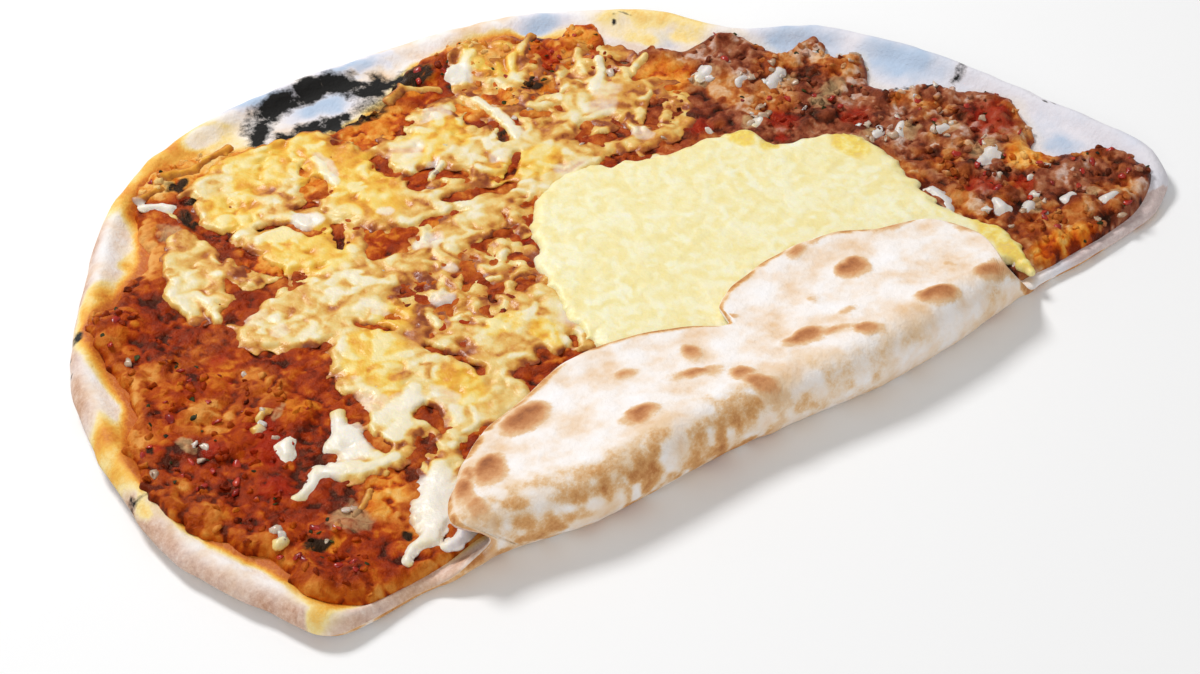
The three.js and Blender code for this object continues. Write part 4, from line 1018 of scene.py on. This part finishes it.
# where the cheese is golden with fat, where it is white, and its whitest shreds once more
GOLDEN_PLACES = [
    (56, 165, 26, 7, 4), (110, 136, 10, 7, 0), (150, 158, 8, 10, 0), (72, 158, 13, 7, 0),
    (65, 149.5, 9, 6, 0), (86, 139, 12, 25, 5), (62, 117, 13, 13, 0), (65, 47, 6, 10, 0),
    (54, 71, 8, 10, 0), (66, 80, 6, 6, 0), (87, 60, 7, 4, 0), (94, 51, 3, 7, 0), (122, 137, 5, 8, 0),
    (53, 142, 8, 9, 0), (48, 62, 6, 12, 0), (130, 112, 12, 7, 0), (190, 78, 5, 3, 0),
]
WHITEST_PLACES = [(36, 14, 8, 14, -30), (31, 49, 6, 9, 0), (17, 50, 10, 14, 0), (25, 7, 6, 4, 38),
                  (37.5, 155, 7, 3.5, -36), (137, 158, 4, 4, 0), (67, 127, 5, 4, 0)]
WHITE_PLACES = [
    (67, 127, 5, 4.5, 0), (89, 100, 5, 3.5, 0), (106, 137, 6, 5, 0), (122, 146, 5, 3, 0),
    (44, 57, 3.5, 9, 0), (49, 51, 6, 4, 0), (59, 46, 3.5, 7, 0), (79, 78, 4, 3.5, 0), (104, 52, 6, 6, 0),
    (84, 143, 2.5, 9, -5), (158, 92, 6, 5, 0), (36, 14, 8, 14, -30),
    (31, 49, 6, 9, 0), (138, 157, 4, 4, 60), (17, 50, 10, 14, 0), (137, 134, 2.5, 12, 0),
    (25, 7, 6, 4, 38), (37.5, 155, 7, 3.5, -36), (64, 86, 2, 6, 20), (163, 121, 6, 5, 0), (168, 126, 5, 5, 0),
    (140, 104, 6, 3, 0), (87, 117, 3, 3, 0), (36, 101, 4, 4, 0), (38, 92, 3, 3, 0), (108, 127, 4, 2, 30),
    (88, 88, 3, 2.5, 0), (127, 119, 4, 3, 0), (165, 104, 3, 4, 0),
]
melted = make_piece("melted_cheese_net", melted_shreds, melt_points, melt_faces, {
    "thickness": thickness, "tone": sample(melt_tone, gx, gy), "golden": blotches(gx, gy, GOLDEN_PLACES),
    "white": blotches(gx, gy, WHITE_PLACES) + 0.6 * blotches(gx, gy, WHITEST_PLACES),
    # grey_shade: painted shade at the right end and in the fold's left opening
    "grey_shade": 0.8 * np.maximum(smooth((gx - 190) / 6), blotches(gx, gy, [(39, 3, 9, 4, 10)]))})
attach(melted, "root")
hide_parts("grated_cheese")

# Loose crumbs
# Crumbs of the same mince that broke off while it was spread and fried dry in the oven.
# They lie loose on the layer, thickest where no cheese covers it.


def strew(name, material, density, low, high, flat, seed, rough, mark):
    """Small uneven pieces strewn over the beef where its mark is high; sizes are metres."""
    tree = bpy.data.node_groups.new(name, "GeometryNodeTree")
    tree.is_modifier = True
    tree.interface.new_socket("Beef", in_out="INPUT", socket_type="NodeSocketGeometry")
    sizes = []
    for label, value in (("Density", density), ("Least size", low), ("Greatest size", high),
                         ("Flatness", flat), ("Roughness", rough)):
        made = tree.interface.new_socket(label, in_out="INPUT", socket_type="NodeSocketFloat")
        sizes.append((made.identifier, value))
    tree.interface.new_socket("Pieces", in_out="OUTPUT", socket_type="NodeSocketGeometry")
    given = add(tree, "NodeGroupInput")
    where = add(tree, "GeometryNodeInputNamedAttribute", {"Name": mark}, data_type="FLOAT")
    facing = add(tree, "ShaderNodeSeparateXYZ", {0: add(tree, "GeometryNodeInputNormal").outputs[0]})
    upward = add(tree, "FunctionNodeCompare", {0: facing.outputs["Z"], 1: 0.3}, operation="GREATER_THAN")
    amount = maths(tree, "MULTIPLY", where.outputs["Attribute"], given.outputs["Density"])
    points = add(tree, "GeometryNodeDistributePointsOnFaces", {
        "Mesh": given.outputs["Beef"], "Selection": upward.outputs[0],
        "Density": amount, "Seed": seed})
    ball = add(tree, "GeometryNodeMeshIcoSphere", {"Radius": 0.5, "Subdivisions": 2})
    place = add(tree, "GeometryNodeInputPosition")
    squash = add(tree, "ShaderNodeCombineXYZ", {0: 1.0, 1: 0.7, 2: given.outputs["Flatness"]})
    size = add(tree, "FunctionNodeRandomValue", {2: given.outputs["Least size"],
                                                 3: given.outputs["Greatest size"], "Seed": seed + 2},
               data_type="FLOAT")
    spin = add(tree, "FunctionNodeRandomValue", {0: (-0.5, -0.5, 0.0), 1: (0.5, 0.5, 6.28), "Seed": seed + 1},
               data_type="FLOAT_VECTOR")
    shape = add(tree, "GeometryNodeTransform", {"Geometry": ball.outputs["Mesh"],
                                                "Scale": squash.outputs[0]})
    strewn = add(tree, "GeometryNodeInstanceOnPoints", {
        "Points": points.outputs["Points"], "Instance": shape.outputs[0],
        "Rotation": spin.outputs[0], "Scale": size.outputs[1]})
    tone = add(tree, "FunctionNodeRandomValue", {2: 0.0, 3: 1.0, "Seed": seed + 3}, data_type="FLOAT")
    toned = add(tree, "GeometryNodeStoreNamedAttribute", {
        "Geometry": strewn.outputs[0], "Name": "tone", "Value": tone.outputs[1]},
        data_type="FLOAT", domain="INSTANCE")
    real = add(tree, "GeometryNodeRealizeInstances", {"Geometry": toned.outputs[0]})
    lumpy = add(tree, "ShaderNodeTexNoise", {"Vector": place.outputs[0], "Scale": 650.0, "Detail": 1.0})
    push = add(tree, "ShaderNodeVectorMath", {0: lumpy.outputs["Color"], 1: (0.5, 0.5, 0.5)},
               operation="SUBTRACT")
    pushed = add(tree, "ShaderNodeVectorMath", {0: push.outputs[0], "Scale": given.outputs["Roughness"]},
                 operation="SCALE")
    knobbly = add(tree, "GeometryNodeSetPosition", {"Geometry": real.outputs[0],
                                                    "Offset": pushed.outputs[0]})
    shaded = add(tree, "GeometryNodeSetShadeSmooth", {"Geometry": knobbly.outputs[0]})
    coated = add(tree, "GeometryNodeSetMaterial", {"Geometry": shaded.outputs[0],
                                                   "Material": material})
    add(tree, "NodeGroupOutput", {0: coated.outputs[0]})
    ground = bpy.data.objects.new(name + "_ground", beef.data)
    bpy.context.scene.collection.objects.link(ground)
    modifier = ground.modifiers.new("strew", "NODES")
    modifier.node_group = tree
    for identifier, value in sizes:
        modifier[identifier] = value
    ready = ground.evaluated_get(bpy.context.evaluated_depsgraph_get())
    mesh = bpy.data.meshes.new_from_object(ready)
    mesh.name = name
    bpy.data.objects.remove(ground)
    piece = bpy.data.objects.new(name, mesh)
    bpy.context.scene.collection.objects.link(piece)
    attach(piece, "root")


strew("fried_beef_crumbs", fried_mince, 36000, 0.0013, 0.0030, 0.6, 3, 0.0022, "bare")

# Diced onion
# Bits of onion that were minced with the beef and came to the top as it baked.
# They are wet and half see-through, off-white with a little brown from frying.
fried_onion, tree, shader = start_material("fried_onion")
cells = speckle(tree, 500, 3)
colour = ramp(tree, between(tree, 0.5, cells, mark_of(tree, "tone")), [
    (0.2, "a8805c"), (0.5, "cdb8a2"), (0.8, "dcd8d4")])
plug(tree, shader, {
    "Base Color": colour, "Roughness": 0.3, "Subsurface Weight": 0.2, "Subsurface Scale": 0.001,
    "Normal": relief(tree, cells, 0.3, 0.0003)})
strew("diced_onion", fried_onion, 60000, 0.0016, 0.0036, 0.45, 13, 0.0022, "onion_place")

# Red pepper
# Bits of red pepper and tomato, chopped small with a knife and mixed into the mince.
# They are wet, and deep red with a glossy skin.
red_pepper, tree, shader = start_material("red_pepper_flesh")
flesh = speckle(tree, 380, 3)
colour = ramp(tree, flesh, [(0.3, "7c1206"), (0.55, "b02410"), (0.75, "cf4a22")])
plug(tree, shader, {"Base Color": colour, "Roughness": 0.28, "Normal": relief(tree, flesh, 0.3, 0.0003)})
strew("red_pepper_bits", red_pepper, 7000, 0.0013, 0.0032, 0.4, 23, 0.0018, "bare")

# Parsley
# Flat parsley, chopped and mixed into the mince before it was spread.
# The oven dried it to thin dark green flakes.
baked_parsley, tree, shader = start_material("baked_parsley")
leaf = speckle(tree, 420, 2)
colour = ramp(tree, leaf, [(0.35, "181706"), (0.6, "383a0e"), (0.8, "5a5a1a")])
plug(tree, shader, {"Base Color": colour, "Roughness": 0.6, "Specular IOR Level": 0.15})
strew("chopped_parsley", baked_parsley, 7000, 0.0010, 0.0022, 0.18, 33, 0.0012, "bare")

# Table and light
# A plain table of matt white board, lit by one soft light from behind and above, a weaker one
# from the front left, and a wide bright room.
REACH = 3  # half the table's side, in metres
table = bpy.data.objects.new("table", bpy.data.meshes.new("table"))
table.data.from_pydata([(-REACH, -REACH, 0), (REACH, -REACH, 0), (REACH, REACH, 0), (-REACH, REACH, 0)],
                       [], [(0, 1, 2, 3)])
bpy.context.scene.collection.objects.link(table)
white_board, tree, shader = start_material("white_painted_board")
plug(tree, shader, {"Base Color": hexed("fafafa"), "Roughness": 0.9})
table.data.materials.append(white_board)

world = bpy.data.worlds.new("room")
bpy.context.scene.world = world
world.use_nodes = True
world.node_tree.nodes["Background"].inputs["Color"].default_value = (1, 1, 1, 1)
world.node_tree.nodes["Background"].inputs["Strength"].default_value = 0.4


def soft_light(name, spot, size, power):
    """A round soft light that faces the middle of the bread; metres and watts."""
    data = bpy.data.lights.new(name, "AREA")
    data.shape, data.size, data.energy = "DISK", size, power
    lamp = bpy.data.objects.new(name, data)
    bpy.context.scene.collection.objects.link(lamp)
    lamp.location = spot
    lamp.rotation_euler = (-Vector(spot)).to_track_quat("-Z", "Y").to_euler()


soft_light("key", (-0.15, 0.75, 0.95), 0.35, 10.4)
soft_light("fill", (-0.6, -0.8, 0.7), 0.9, 3.0)
bpy.context.scene.view_settings.view_transform = "Standard"
